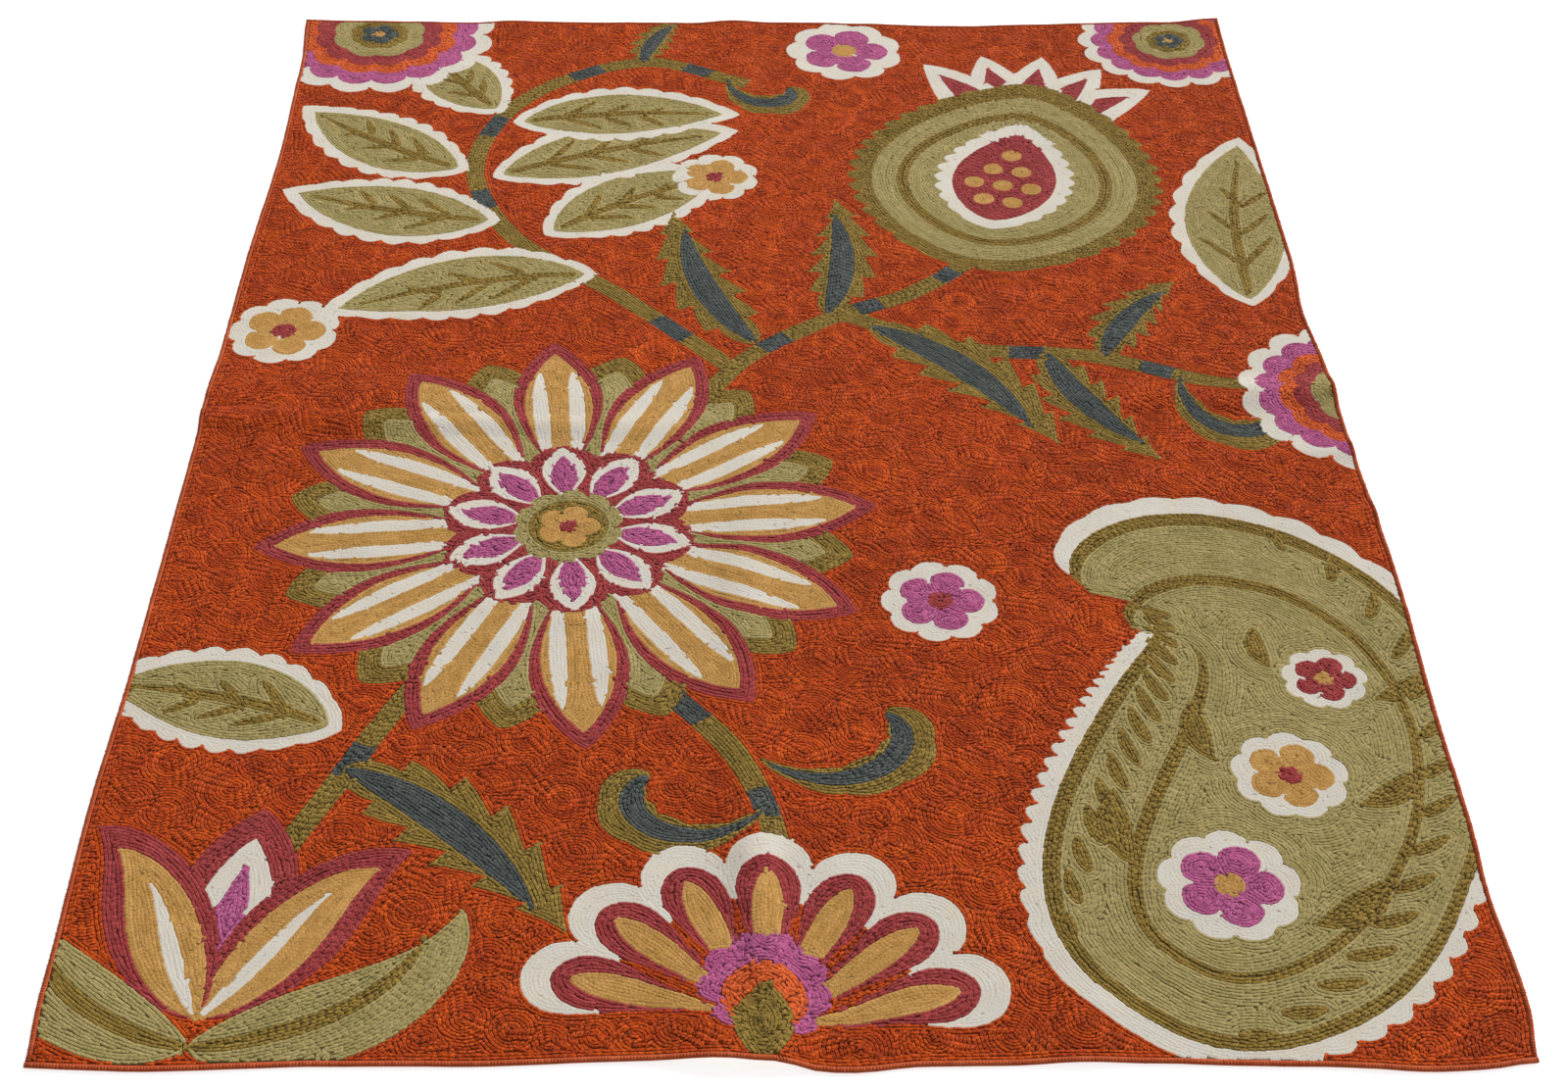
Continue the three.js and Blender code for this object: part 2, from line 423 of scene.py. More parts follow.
PAISLEY_BANDS = [
    # yarn, depth inside the edge (metres)
    ("dark_olive", 0.024),
    ("light_olive", 0.041),
    ("dark_olive", 0.108),
    ("light_olive", 0.122),
]
PAISLEY_BELLY = 0.36
PAISLEY_HEARTS = [
    # share of the length, radius, rim, petals, eye
    (0.24, 0.078, "cream", "orchid", "ochre"),
    (0.43, 0.066, "cream", "ochre", "crimson"),
    (0.6, 0.05, "cream", "crimson", "ochre"),
]


def paisley(base, heading, length, width, bend, curl):
    """A large paisley: a lobed cream edge, olive bands that echo it with a row of short strokes between them,
    and blossoms down its middle."""
    shape = dict(bend=bend, curl=curl, belly=PAISLEY_BELLY, fullness=0.6)
    figure("cream", blade(base, heading, length, width, lobes=30, bite=0.05, **shape))
    for yarn, depth in PAISLEY_BANDS:
        root = step_along(base, heading - bend / 2, depth)
        figure(yarn, blade(root, heading, length - 2.3 * depth, width - 2 * depth, **shape))
    t, points, turn = spine(base, heading, length, bend, curl)
    swell = np.sin(np.pi * t ** (math.log(0.5) / math.log(PAISLEY_BELLY))) ** 0.6
    for k in range(16, 190, 12):
        for lean in (-1, 1):
            root = step_along(points[k], math.degrees(turn[k]), 0, lean * (width / 2 - 0.1) * swell[k])
            way = math.degrees(turn[k]) + lean * (50 - 30 * t[k])
            stroke = blade(root, way, 0.062 * swell[k], 0.0165, -lean * 24, belly=0.45, fullness=0.5)
            figure("dark_olive", stroke)
    for share, radius, rim, petal, eye in PAISLEY_HEARTS:
        place = step_along(base, heading - bend / 2 + bend * share / 2, share * length)
        ringed_blossom(place, radius, rim, petal, eye, turned=heading)
        for lean in (-1, 1):
            root = step_along(place, heading, -0.2 * radius, lean * 1.25 * radius)
            figure("dark_olive", blade(root, heading + lean * 30, 1.5 * radius, 0.5 * radius, -lean * 50))


def pomegranate(base, heading, size):
    """A round fruit with a pointed crown, cut open to its seeds."""
    top = step_along(base, heading, 0.6 * size)
    for lean in (-38, -19, 19, 38, 0):
        figure("cream", blade(top, heading + lean, 0.54 * size, 0.19 * size, lean * 0.8))
        inner = step_along(top, heading, 0.02 * size)
        figure("crimson", blade(inner, heading + lean, 0.45 * size, 0.1 * size, lean * 0.8))
    body = dict(belly=0.46, fullness=0.62)
    figure("dark_olive", blade(base, heading, 0.98 * size, 0.86 * size, lobes=17, bite=0.07, **body))
    for yarn, depth in (("light_olive", 0.05), ("dark_olive", 0.118), ("light_olive", 0.15)):
        root = step_along(base, heading, depth * size)
        figure(yarn, blade(root, heading, (0.96 - 2.25 * depth) * size, (0.82 - 2 * depth) * size, **body))
    heart = dict(belly=0.45, fullness=0.7)
    root = step_along(base, heading, 0.2 * size)
    figure("cream", blade(root, heading, 0.55 * size, 0.38 * size, lobes=11, bite=0.1, **heart))
    root = step_along(base, heading, 0.24 * size)
    figure("crimson", blade(root, heading, 0.45 * size, 0.28 * size, **heart))
    for row, count in enumerate((2, 3, 2, 1)):
        for k in range(count):
            aside = (k - (count - 1) / 2) * 0.078 * size
            figure("ochre", disc(step_along(base, heading, (0.34 + 0.078 * row) * size, aside), 0.027 * size))


def carnation(base, heading, size, petals=7, spread=150):
    """A fan of petals with a two-coloured heart, on a small cup."""
    for k in range(petals):
        lean = heading + spread * (k / (petals - 1) - 0.5)
        figure("cream", blade(base, lean, size, 0.36 * size, belly=0.82, fullness=0.55))
        figure("crimson", blade(base, lean, 0.88 * size, 0.27 * size, belly=0.8, fullness=0.55))
        figure("ochre", blade(base, lean, 0.8 * size, 0.13 * size, belly=0.75, fullness=0.6))
    heart = step_along(base, heading, 0.2 * size)
    figure("orchid", disc(heart, 0.27 * size, lobes=9, depth=0.16, turned=heading))
    figure("coral", disc(step_along(base, heading, 0.14 * size), 0.17 * size))
    cup = step_along(base, heading, -0.22 * size)
    figure("dark_olive", blade(cup, heading, 0.42 * size, 0.24 * size, belly=0.55))


MEDALLION_RINGS = [
    # yarn, share of the radius, lobes
    ("cream", 1, 16),
    ("orchid", 0.86, 16),
    ("coral", 0.68, 12),
    ("crimson", 0.55, 12),
    ("light_olive", 0.4, 8),
    ("dark_olive", 0.25, 8),
]


def medallion(centre, radius, turned=0):
    """A round flower of lobed rings."""
    for yarn, share, lobes in MEDALLION_RINGS:
        figure(yarn, disc(centre, share * radius, lobes=lobes, depth=0.09, turned=turned))
    blossom(centre, 0.16 * radius, 5, "slate", "ochre")


TULIP_PETALS = [
    # yarn, length, width, curl of a side petal, as shares of the size and in degrees
    ("crimson", 1, 0.38, 60),
    ("ochre", 0.86, 0.25, 50),
    ("cream", 0.66, 0.06, 30),
]


def tulip(base, heading, size):
    """A tulip: two side petals that curl out over a middle one, on two broad leaves."""
    for lean in (-1, 1):
        way = heading + lean * 58
        figure("light_olive", blade(base, way, 1.15 * size, 0.34 * size, -lean * 50, -lean * 40, belly=0.42))
        vein = blade(base, way, 0.95 * size, 0.07 * size, -lean * 50, -lean * 30, belly=0.4, fullness=0.5)
        figure("dark_olive", vein)
    root = step_along(base, heading, 0.12 * size)
    for yarn, length, width in (("crimson", 0.95, 0.42), ("cream", 0.8, 0.26), ("orchid", 0.68, 0.12)):
        figure(yarn, blade(root, heading, length * size, width * size, belly=0.56))
    for lean in (-1, 1):
        way = heading + lean * 24
        for yarn, length, width, curl in TULIP_PETALS:
            figure(yarn, blade(root, way, length * size, width * size, -lean * 26, lean * curl, belly=0.45))


# %% [markdown]
# ## Where each figure stands
# The layout is uneven and runs off the edges, as on the real rug: a vine with a leaf spray and a fruit, one
# big star flower, one big paisley, and cropped flowers at the rim. Later lines lie on top of earlier ones.

# %% Layout
LEAF_SPRAY = [
    # points along the stem that carries the leaves
    (-0.06, 0.1),
    (-0.22, 0.27),
    (-0.38, 0.42),
    (-0.45, 0.62),
    (-0.38, 0.82),
    (-0.2, 0.93),
    (-0.03, 0.86),
]
VINES = [
    # bands, points along the stem
    (3, [(-0.6, -0.9), (-0.52, -0.74), (-0.44, -0.56), (-0.34, -0.38)]),
    (4, [(-0.16, -0.16), (-0.06, 0.08), (0.07, 0.2), (0.2, 0.27), (0.3, 0.36)]),
    (6, LEAF_SPRAY),
    (3, [(-0.02, -0.98), (0.0, -0.8), (-0.05, -0.64), (-0.16, -0.5)]),
    (4, [(0.1, 0.22), (0.26, 0.14), (0.44, 0.12), (0.6, 0.06), (0.74, 0.03)]),
]
LEAVES = [
    # base, heading, length, width, bend
    ((-0.25, 0.32), 194, 0.40, 0.175, 26),
    ((-0.40, 0.46), 166, 0.35, 0.175, -18),
    ((-0.46, 0.60), 146, 0.34, 0.17, -20),
    ((-0.42, 0.77), 122, 0.28, 0.16, -16),
    ((-0.33, 0.42), 32, 0.34, 0.175, -22),
    ((-0.42, 0.58), 20, 0.40, 0.175, -16),
    ((-0.40, 0.74), 4, 0.36, 0.165, -20),
    ((0.69, 0.24), 84, 0.46, 0.19, -22),
    ((-0.50, -0.60), 166, 0.32, 0.17, 24),
]
SAZ_LEAVES = [
    ((-0.02, 0.15), 110, 0.36, 0.11, -34),
    ((0.08, 0.22), 86, 0.30, 0.1, 30),
    ((0.14, 0.19), 312, 0.36, 0.12, -40),
    ((0.38, 0.13), 298, 0.27, 0.1, 34),
    ((0.46, 0.12), 56, 0.22, 0.09, -34),
    ((-0.49, -0.66), 318, 0.36, 0.12, -34),
    ((-0.2, 0.93), 70, 0.16, 0.07, -34),
]
TENDRILS = [
    # base, heading, length, bend
    ((-0.01, -0.72), 172, 0.26, -120),
    ((-0.03, -0.64), 12, 0.28, 110),
    ((0.56, 0.08), 310, 0.25, 120),
    ((-0.06, 0.88), 330, 0.2, 130),
]
RINGED_BLOSSOMS = [
    # centre, radius, rim, petals, eye
    ((-0.68, 0.18), 0.078, "cream", "ochre", "crimson"),
    ((0.13, 0.97), 0.095, "cream", "orchid", "ochre"),
    ((-0.08, 0.58), 0.066, "cream", "ochre", "crimson"),
    ((0.2, -0.38), 0.072, "cream", "orchid", "crimson"),
]


def draw_figures():
    """Draws the whole rug, back to front."""
    for bands, points in VINES:
        vine(points, bands)
    for leaf in LEAVES:
        long_leaf(*leaf)
    for leaf in SAZ_LEAVES:
        saz_leaf(*leaf)
    for shoot in TENDRILS:
        tendril(*shoot)
    paisley((0.34, -1.02), 66, 0.98, 0.5, 34, 150)
    pomegranate((0.3, 0.33), 76, 0.56)
    rosette((-0.26, -0.24), 0.385, 6)
    carnation((-0.02, -1.02), 88, 0.26)
    medallion((-0.64, 1.02), 0.19)
    medallion((0.67, 1.0), 0.15, 8)
    medallion((0.79, 0.03), 0.16, 20)
    tulip((-0.6, -1.04), 84, 0.3)
    for flower in RINGED_BLOSSOMS:
        ringed_blossom(*flower)


draw_figures()
print(len(figures), "figures")

# %% [markdown]
# ## Which yarn lies where
# The figures are painted back to front into a fine grid. Each small square of cloth then holds the number of
# the figure that shows there. The grid is only used to look things up: which yarn a stitch gets, and which
# parts of an outline lie hidden under a later figure.

# %% The grid of figures
CELL = 0.0015
GROUND = -1
GRID = (int(round(LENGTH / CELL)), int(round(WIDTH / CELL)))


def paint(grid, outline, value):
    """Fills the squares whose middles lie inside an outline: in each line of squares, those between an odd
    and an even crossing."""
    at = (outline + HALF) / CELL
    after = np.roll(at, -1, axis=0)
    first = np.ceil(np.minimum(at[:, 1], after[:, 1]) - 0.5).astype(int)
    last = np.ceil(np.maximum(at[:, 1], after[:, 1]) - 0.5).astype(int)
    count = last - first
    piece = np.repeat(np.arange(len(at)), count)
    row = np.arange(count.sum()) - np.repeat(np.cumsum(count) - count, count) + first[piece]
    share = (row + 0.5 - at[piece, 1]) / (after[piece, 1] - at[piece, 1])
    column = np.ceil(at[piece, 0] + share * (after[piece, 0] - at[piece, 0]) - 0.5).astype(int)
    ok = (row >= 0) & (row < GRID[0])
    crossings = np.zeros((GRID[0], GRID[1] + 1), np.int32)
    np.add.at(crossings, (row[ok], np.clip(column[ok], 0, GRID[1])), 1)
    grid[np.cumsum(crossings, axis=1)[:, :-1] % 2 == 1] = value


def squares(x, y):
    """The grid's row and column at flat x, y, held inside the grid."""
    row = ((y + HALF[1]) / CELL).astype(int).clip(0, GRID[0] - 1)
    column = ((x + HALF[0]) / CELL).astype(int).clip(0, GRID[1] - 1)
    return row, column


shown = np.full(GRID, GROUND, np.int32)
for number, (yarn, outline) in enumerate(figures):
    paint(shown, outline, number)
yarn_of = np.array([yarn for yarn, outline in figures] + [YARN_NAMES.index("rust")])
shares = np.bincount(yarn_of[shown].ravel(), minlength=len(YARNS)) / shown.size
print({name: round(float(share), 3) for name, share in zip(YARN_NAMES, shares)})

# %% [markdown]
# ## Where the seams between colours run
# The visible part of every outline becomes a set of seed points. A search tree over them then tells how far
# any spot is from the nearest change of figure. The rim of the ground is seeded too.

# %% Seed points
def outward(line):
    """Unit normals that point out of a counterclockwise closed line."""
    way = np.roll(line, -1, axis=0) - np.roll(line, 1, axis=0)
    out = np.stack([way[:, 1], -way[:, 0]], axis=1)
    return out / np.maximum(np.hypot(*out.T), 1e-9)[:, None]


def inside_work(points, margin=0.0):
    """Which points lie inside the worked area, at least margin from its rim."""
    return np.all(np.abs(points) < WORKED - margin, axis=1)


def visible(number, outline):
    """The points of a figure's outline that show."""
    just_inside = outline - outward(outline) * CELL
    return outline[(shown[squares(*just_inside.T)] == number) & inside_work(outline)]


def rim():
    """Points along the worked area's rim, where the ground reaches it."""
    x, y = WORKED
    t = np.linspace(-1, 1, 1800)[:, None]
    sides = [(0, -y, x, 0), (0, y, x, 0), (-x, 0, 0, y), (x, 0, 0, y)]
    line = np.vstack([np.hstack([cx + t * rx, cy + t * ry]) for cx, cy, rx, ry in sides])
    return line[shown[squares(*line.T)] == GROUND]


seeds = np.vstack([visible(number, outline) for number, (yarn, outline) in enumerate(figures)] + [rim()])
seams = KDTree(len(seeds))
for number, (x, y) in enumerate(seeds.tolist()):
    seams.insert((x, y, 0), number)
seams.balance()


def to_seam(points):
    """The distance from each point to the nearest seam."""
    return np.array([seams.find((x, y, 0))[2] for x, y in points.tolist()])


print(len(seeds), "seed points")

# %% [markdown]
# ## Laying the rows
# A row is an outline moved inwards or outwards by half a row's width, then by one and a half, and so on, as
# a worker does it. A stitch stays if no other seam is nearer than its own, and if no earlier stitch lies
# there. A grid of taken squares keeps count. Around each flower the ground has two such rows.

# %% Rows that echo the outlines
ECHO_ROWS = 2
RIM_ROWS = 2
NEAREST = -0.5
FARTHEST = 0.2
FAN = math.radians(9)
ALONG = np.linspace(-0.42, 0.42, 7) * STITCH
ACROSS = np.linspace(-0.3, 0.3, 3) * ROW
ROOM = 0.34
UNEVEN_EVERY = 8
UNEVEN_TONE = 0.34
ROW_TONE = 0.2
FROM_RIM = 0.45 * ROW
rng = np.random.default_rng(7)
taken = np.zeros(GRID, bool)


def moved(line, distance):
    """A closed line moved outwards by a distance (inwards when negative), with a round fan at each corner."""
    way = np.roll(line, -1, axis=0) - line
    after = np.arctan2(-way[:, 0], way[:, 1])
    before = np.roll(after, 1)
    turn = (after - before + 0.7 * np.pi) % (2 * np.pi) - 0.7 * np.pi
    count = 1 + np.ceil(np.abs(turn) / FAN).astype(int)
    point = np.repeat(np.arange(len(line)), count)
    step = np.arange(count.sum()) - np.repeat(np.cumsum(count) - count, count)
    angle = before[point] + turn[point] * (step + 0.5) / count[point]
    return line[point] + distance * np.stack([np.cos(angle), np.sin(angle)], axis=1)


def stations(line):
    """Places one stitch apart along a closed line, and the heading at each: (n, 2) points and n angles."""
    ring = np.vstack([line, line[:1]])
    reach = np.concatenate([[0], np.cumsum(np.hypot(*np.diff(ring, axis=0).T))])
    count = int(round(reach[-1] / STITCH))
    if count < 1:
        return np.zeros((0, 2)), np.zeros(0)
    at = (np.arange(count) + rng.random()) / count * reach[-1]
    ahead, behind = (
        np.stack([np.interp(at + step, reach, ring[:, k], period=reach[-1]) for k in (0, 1)], axis=1)
        for step in (0.3 * STITCH, -0.3 * STITCH)
    )
    way = ahead - behind
    return (ahead + behind) / 2, np.arctan2(way[:, 1], way[:, 0])


def footprint(points, angles):
    """The grid squares under each stitch: rows and columns, both (n, 21)."""
    u, v = (part.ravel() for part in np.meshgrid(ALONG, ACROSS))
    c, s = np.cos(angles)[:, None], np.sin(angles)[:, None]
    return squares(points[:, :1] + u * c - v * s, points[:, 1:] + u * s + v * c)


def is_free(points, angles, room=ROOM):
    """Which stitches find their place free: no more than a share of the squares under them is taken."""
    return taken[footprint(points, angles)].mean(axis=1) <= room


laid_down = {"points": [], "angles": [], "yarn": [], "tone": []}


def put(points, angles, labels, tones):
    """Keeps these stitches with their row's tone (-1 dark to 1 light), and marks their places as taken."""
    laid_down["points"].append(points)
    laid_down["angles"].append(angles)
    laid_down["yarn"].append(yarn_of[labels])
    laid_down["tone"].append(np.broadcast_to(tones, len(points)))
    taken[footprint(points, angles)] = True


def uneven(count):
    """A tone for each stitch of a row that drifts up and down along it: one random value per few stitches."""
    knots = rng.normal(0, UNEVEN_TONE, count // UNEVEN_EVERY + 3)
    return rng.normal(0, ROW_TONE) + np.interp(np.arange(count) / UNEVEN_EVERY, np.arange(len(knots)), knots)


def row_of(number, outline, side, k):
    """Lays row k of a figure on one side of its outline (1 outside, -1 inside), and says how many stitches
    stay."""
    distance = (k + 0.5) * ROW
    points, angles = stations(moved(outline, side * distance))
    tones = uneven(len(points))
    label = shown[squares(*points.T)]
    fits = (label == number) if side < 0 else (label != number) & ((label != GROUND) | (k < ECHO_ROWS))
    fits &= inside_work(points, FROM_RIM)
    points, angles, label, tones = points[fits], angles[fits], label[fits], tones[fits]
    over = (to_seam(points) - distance) / ROW
    near = (over > NEAREST) & (over < FARTHEST)
    points, angles, label, tones = points[near], angles[near], label[near], tones[near]
    free = is_free(points, angles)
    put(points[free], angles[free], label[free], tones[free])
    return int(free.sum())


def lay_rows():
    """Lays all rows, the ones next to the outlines first, until nothing more fits."""
    sides = [(number, outline, side) for number, (yarn, outline) in enumerate(figures) for side in (-1, 1)]
    k = 0
    while sides:
        sides = [row for row in sides if row_of(*row, k) or k < 1]
        k += 1
    return k


def lay_rim():
    """Rows along the rim of the ground."""
    for k in range(RIM_ROWS):
        distance = (k + 0.5) * ROW
        corners = (WORKED - distance) * np.array([(-1, -1), (1, -1), (1, 1), (-1, 1)])
        points, angles = stations(even(corners))
        label = shown[squares(*points.T)]
        over = (to_seam(points) - distance) / ROW
        stays = (label == GROUND) & (over > NEAREST) & (over < FARTHEST)
        points, angles, label = points[stays], angles[stays], label[stays]
        free = is_free(points, angles)
        put(points[free], angles[free], label[free], uneven(free.sum()))


depth = lay_rows()
lay_rim()
print(sum(map(len, laid_down["angles"])), "stitches in rows, up to", depth, "rows deep")

# %% [markdown]
# ## Coils in the ground
# The open ground is worked in spiral coils, each started from a middle and worked round and round until it
# meets its neighbours. Their middles are scattered at random, no two closer than a set distance.
# A stitch at arc length s on the spiral lies at the turn angle sqrt(4 pi s / ROW).

# %% Ground coils
COIL_SPACING = (0.068, 0.04)
COIL_MARGIN = (0.022, 0.014)
COIL_REACH = 0.095
WOBBLE = 0.001
WOBBLE_TURN = 90
RING_TONE = 0.75
COIL_TONE = 0.16
# painted shade at a coil's middle: its darkest share, and how far it reaches
CENTRE_SHADE = 1.3
CENTRE_REACH = 0.011


def coil_middles():
    """Random ground places that keep their distance from the seams and from each other."""
    middles = np.zeros((0, 2))
    for apart, margin in zip(COIL_SPACING, COIL_MARGIN):
        darts = rng.uniform(-1, 1, (9000, 2)) * WORKED
        darts = darts[shown[squares(*darts.T)] == GROUND]
        darts = darts[to_seam(darts) > margin]
        for dart in darts:
            if not len(middles) or np.hypot(*(middles - dart).T).min() > apart:
                middles = np.vstack([middles, dart])
    return middles


def coil(middle, middles):
    """One spiral of stitches, up to where a neighbouring coil is nearer. Its rings differ a little in tone,
    and a painted shade darkens it towards its middle, where the tight turns dip."""
    s = (np.arange(int(np.pi * COIL_REACH**2 / ROW / STITCH)) + 0.6) * STITCH
    turn = np.sqrt(4 * np.pi * s / ROW)
    radius = ROW * turn / (2 * np.pi)
    hand = rng.choice([-1, 1])
    angle = hand * turn + rng.uniform(0, 2 * np.pi)
    points = middle + radius[:, None] * np.stack([np.cos(angle), np.sin(angle)], axis=1)
    phase = rng.uniform(0, 2 * np.pi, 2)
    points = points + WOBBLE * np.sin(points[:, ::-1] * WOBBLE_TURN + phase)
    heading = angle + hand * np.pi / 2
    nearest = np.sqrt(((points[:, None] - middles[None]) ** 2).sum(axis=2)).min(axis=1)
    stays = (radius < nearest + 0.45 * ROW + WOBBLE) & inside_work(points, FROM_RIM)
    stays &= shown[squares(*points.T)] == GROUND
    points, heading = points[stays], heading[stays]
    rings = np.interp(turn[stays] / (2 * np.pi), np.arange(30), rng.normal(0, RING_TONE, 30))
    painted_dip_shade = CENTRE_SHADE * rng.random() * np.exp(-((radius[stays] / CENTRE_REACH) ** 2))
    tones = rng.normal(0, COIL_TONE) + rings - painted_dip_shade
    clear = to_seam(points) > (ECHO_ROWS - 0.3) * ROW
    return points[clear], heading[clear], tones[clear]


middles = coil_middles()
for middle in middles:
    points, angles, tones = coil(middle, middles)
    free = is_free(points, angles)
    put(points[free], angles[free], np.full(free.sum(), GROUND), tones[free])
print(len(middles), "coils,", sum(map(len, laid_down["angles"])), "stitches so far")

# %% [markdown]
# ## Filling the gaps
# Where rows run out or coils meet, small gaps stay. Each gets a stitch of its own that follows the nearest
# seam, as a worker closes them last.

# %% Gap stitches
GAP_ROOM = 0.42
BATCH = 24


def gap_places():
    """Middles of squares that are still free, as are the squares to both sides one way or the other, in
    random order."""
    free = ~taken
    core = free[1:-1, 1:-1] & ((free[:-2, 1:-1] & free[2:, 1:-1]) | (free[1:-1, :-2] & free[1:-1, 2:]))
    row, column = np.nonzero(core)
    order = rng.permutation(len(row))
    places = np.stack([column[order] + 1.5, row[order] + 1.5], axis=1) * CELL - HALF
    return places[inside_work(places, 0.4 * ROW)]


def along_seam(points):
    """The heading of the nearest seam at each point."""
    away = np.array([(x - q[0], y - q[1]) for x, y in points.tolist() for q in [seams.find((x, y, 0))[0]]])
    return np.arctan2(away[:, 0], -away[:, 1])


def fill_gaps():
    """Puts stitches in the free places, one batch after another so that none overlap."""
    places = gap_places()
    angles = along_seam(places)
    labels = shown[squares(*places.T)]
    for start in range(0, len(places), BATCH):
        batch = slice(start, start + BATCH)
        free = is_free(places[batch], angles[batch], GAP_ROOM)
        put(places[batch][free], angles[batch][free], labels[batch][free], uneven(free.sum()))


fill_gaps()
stitch_points = np.vstack(laid_down["points"])
stitch_angles = np.concatenate(laid_down["angles"])
stitch_yarns = np.concatenate(laid_down["yarn"])
stitch_tones_and_shade = np.concatenate(laid_down["tone"])
print(len(stitch_points), "stitches,", round(float(taken.mean()), 3), "of the cloth covered")

# %% [markdown]
# ## Making meshes
# Whole arrays go into each mesh at once: points, triangles, one or two sets of picture coordinates (UVs), and
# named values for the materials to read.

# %% Mesh building
SCENE = bpy.context.collection


def make_mesh(name, points, faces, uvs=None, values=None, smooth=True):
    """An object from an (n, 3) array of points and an (m, 3) array of triangles.
    uvs: {layer name: (3m, 2) array}. values: {name: n numbers, or (n, 4) colours}. smooth: one flag, or m."""
    mesh = bpy.data.meshes.new(name)
    mesh.vertices.add(len(points))
    mesh.vertices.foreach_set("co", np.asarray(points, np.float32).ravel())
    mesh.loops.add(faces.size)
    mesh.loops.foreach_set("vertex_index", faces.astype(np.int32).ravel())
    mesh.polygons.add(len(faces))
    mesh.polygons.foreach_set("loop_start", np.arange(0, faces.size, 3, dtype=np.int32))
    mesh.polygons.foreach_set("use_smooth", np.broadcast_to(smooth, len(faces)).astype(bool))
    mesh.update(calc_edges=True)
    for layer, corners in (uvs or {}).items():
        mesh.uv_layers.new(name=layer).data.foreach_set("uv", np.asarray(corners, np.float32).ravel())
    for value, numbers in (values or {}).items():
        numbers = np.asarray(numbers, np.float32)
        if numbers.ndim == 1:
            mesh.attributes.new(value, "FLOAT", "POINT").data.foreach_set("value", numbers)
        else:
            mesh.attributes.new(value, "FLOAT_COLOR", "POINT").data.foreach_set("color", numbers.ravel())
    mesh.validate()
    made = bpy.data.objects.new(name, mesh)
    SCENE.objects.link(made)
    return made


def grid_faces(columns, rows, start=0, flip=False):
    """Triangles over a grid of points that are stored row by row."""
    i, j = (part.ravel() for part in np.meshgrid(np.arange(columns - 1), np.arange(rows - 1)))
    a = start + j * columns + i
    b, c, d = a + 1, a + columns + 1, a + columns
    faces = np.concatenate([np.stack([a, b, c], axis=1), np.stack([a, c, d], axis=1)])
    return faces[:, ::-1] if flip else faces


# %% [markdown]
# ## The shape of a stitch
# A chain is a row of small loops, each held down by the next. Modelled loop by loop, the rug would be too
# heavy to pass on, so one low ridge stands for two loops and its material draws the loops on it.
# The ridge is a roof on four corners. It is wider than its row, so its slopes run into the next row's, and no
# canvas shows between. The light yarns look smoother than the dark ones, so their ridges are lower, and those
# of cream and ochre are shaded flat.
# Lengths are shares of the ridge, widths shares of its width, and heights shares of how far it stands up.

# %% Stitch shape
STITCH_POINTS = np.array(
    [
        # along, across, up
        (-0.5, -0.47, 0.0),
        (0.5, -0.5, 0.06),
        (0.5, 0.5, 0.06),
        (-0.5, 0.47, 0.0),
        (-0.42, 0.0, 0.9),
        (0.42, 0.0, 1.0),
    ]
)
STITCH_FACES = np.array(
    [(0, 1, 5), (0, 5, 4), (1, 2, 5), (2, 3, 4), (2, 4, 5), (3, 0, 4), (0, 3, 2), (0, 2, 1)]
)
STITCH_SMOOTH = np.array([True] * 6 + [False] * 2)
FLAT_SHADED = ("cream", "ochre")
STITCH_LENGTH = 1.2 * STITCH
STITCH_WIDTH = 1.42 * ROW
STITCH_BASE = 0.0029
STITCH_HEIGHT = 0.00105
# share of STITCH_HEIGHT for the yarns with lower ridges
FLATTER = {"cream": 0.36, "light_olive": 0.5, "ochre": 0.65, "crimson": 0.7, "orchid": 0.7, "coral": 0.8}
BASE_SHARE = 0.35
WIDER = 0.18
TURN_SPREAD = 0.07
SIZE_SPREADS = (0.05, 0.09, 0.18)
ASIDE_SPREAD = 0.00028
OWN_TONE = 0.24
ROW_SHARE = 0.3


def bake_layout(count):
    """The corners of a square picture's cells, one for each stitch: (count, 2) corners and a cell's side."""
    side = int(math.ceil(math.sqrt(count)))
    place = np.arange(count)
    return np.stack([place % side, place // side], axis=1) / side, 1 / side


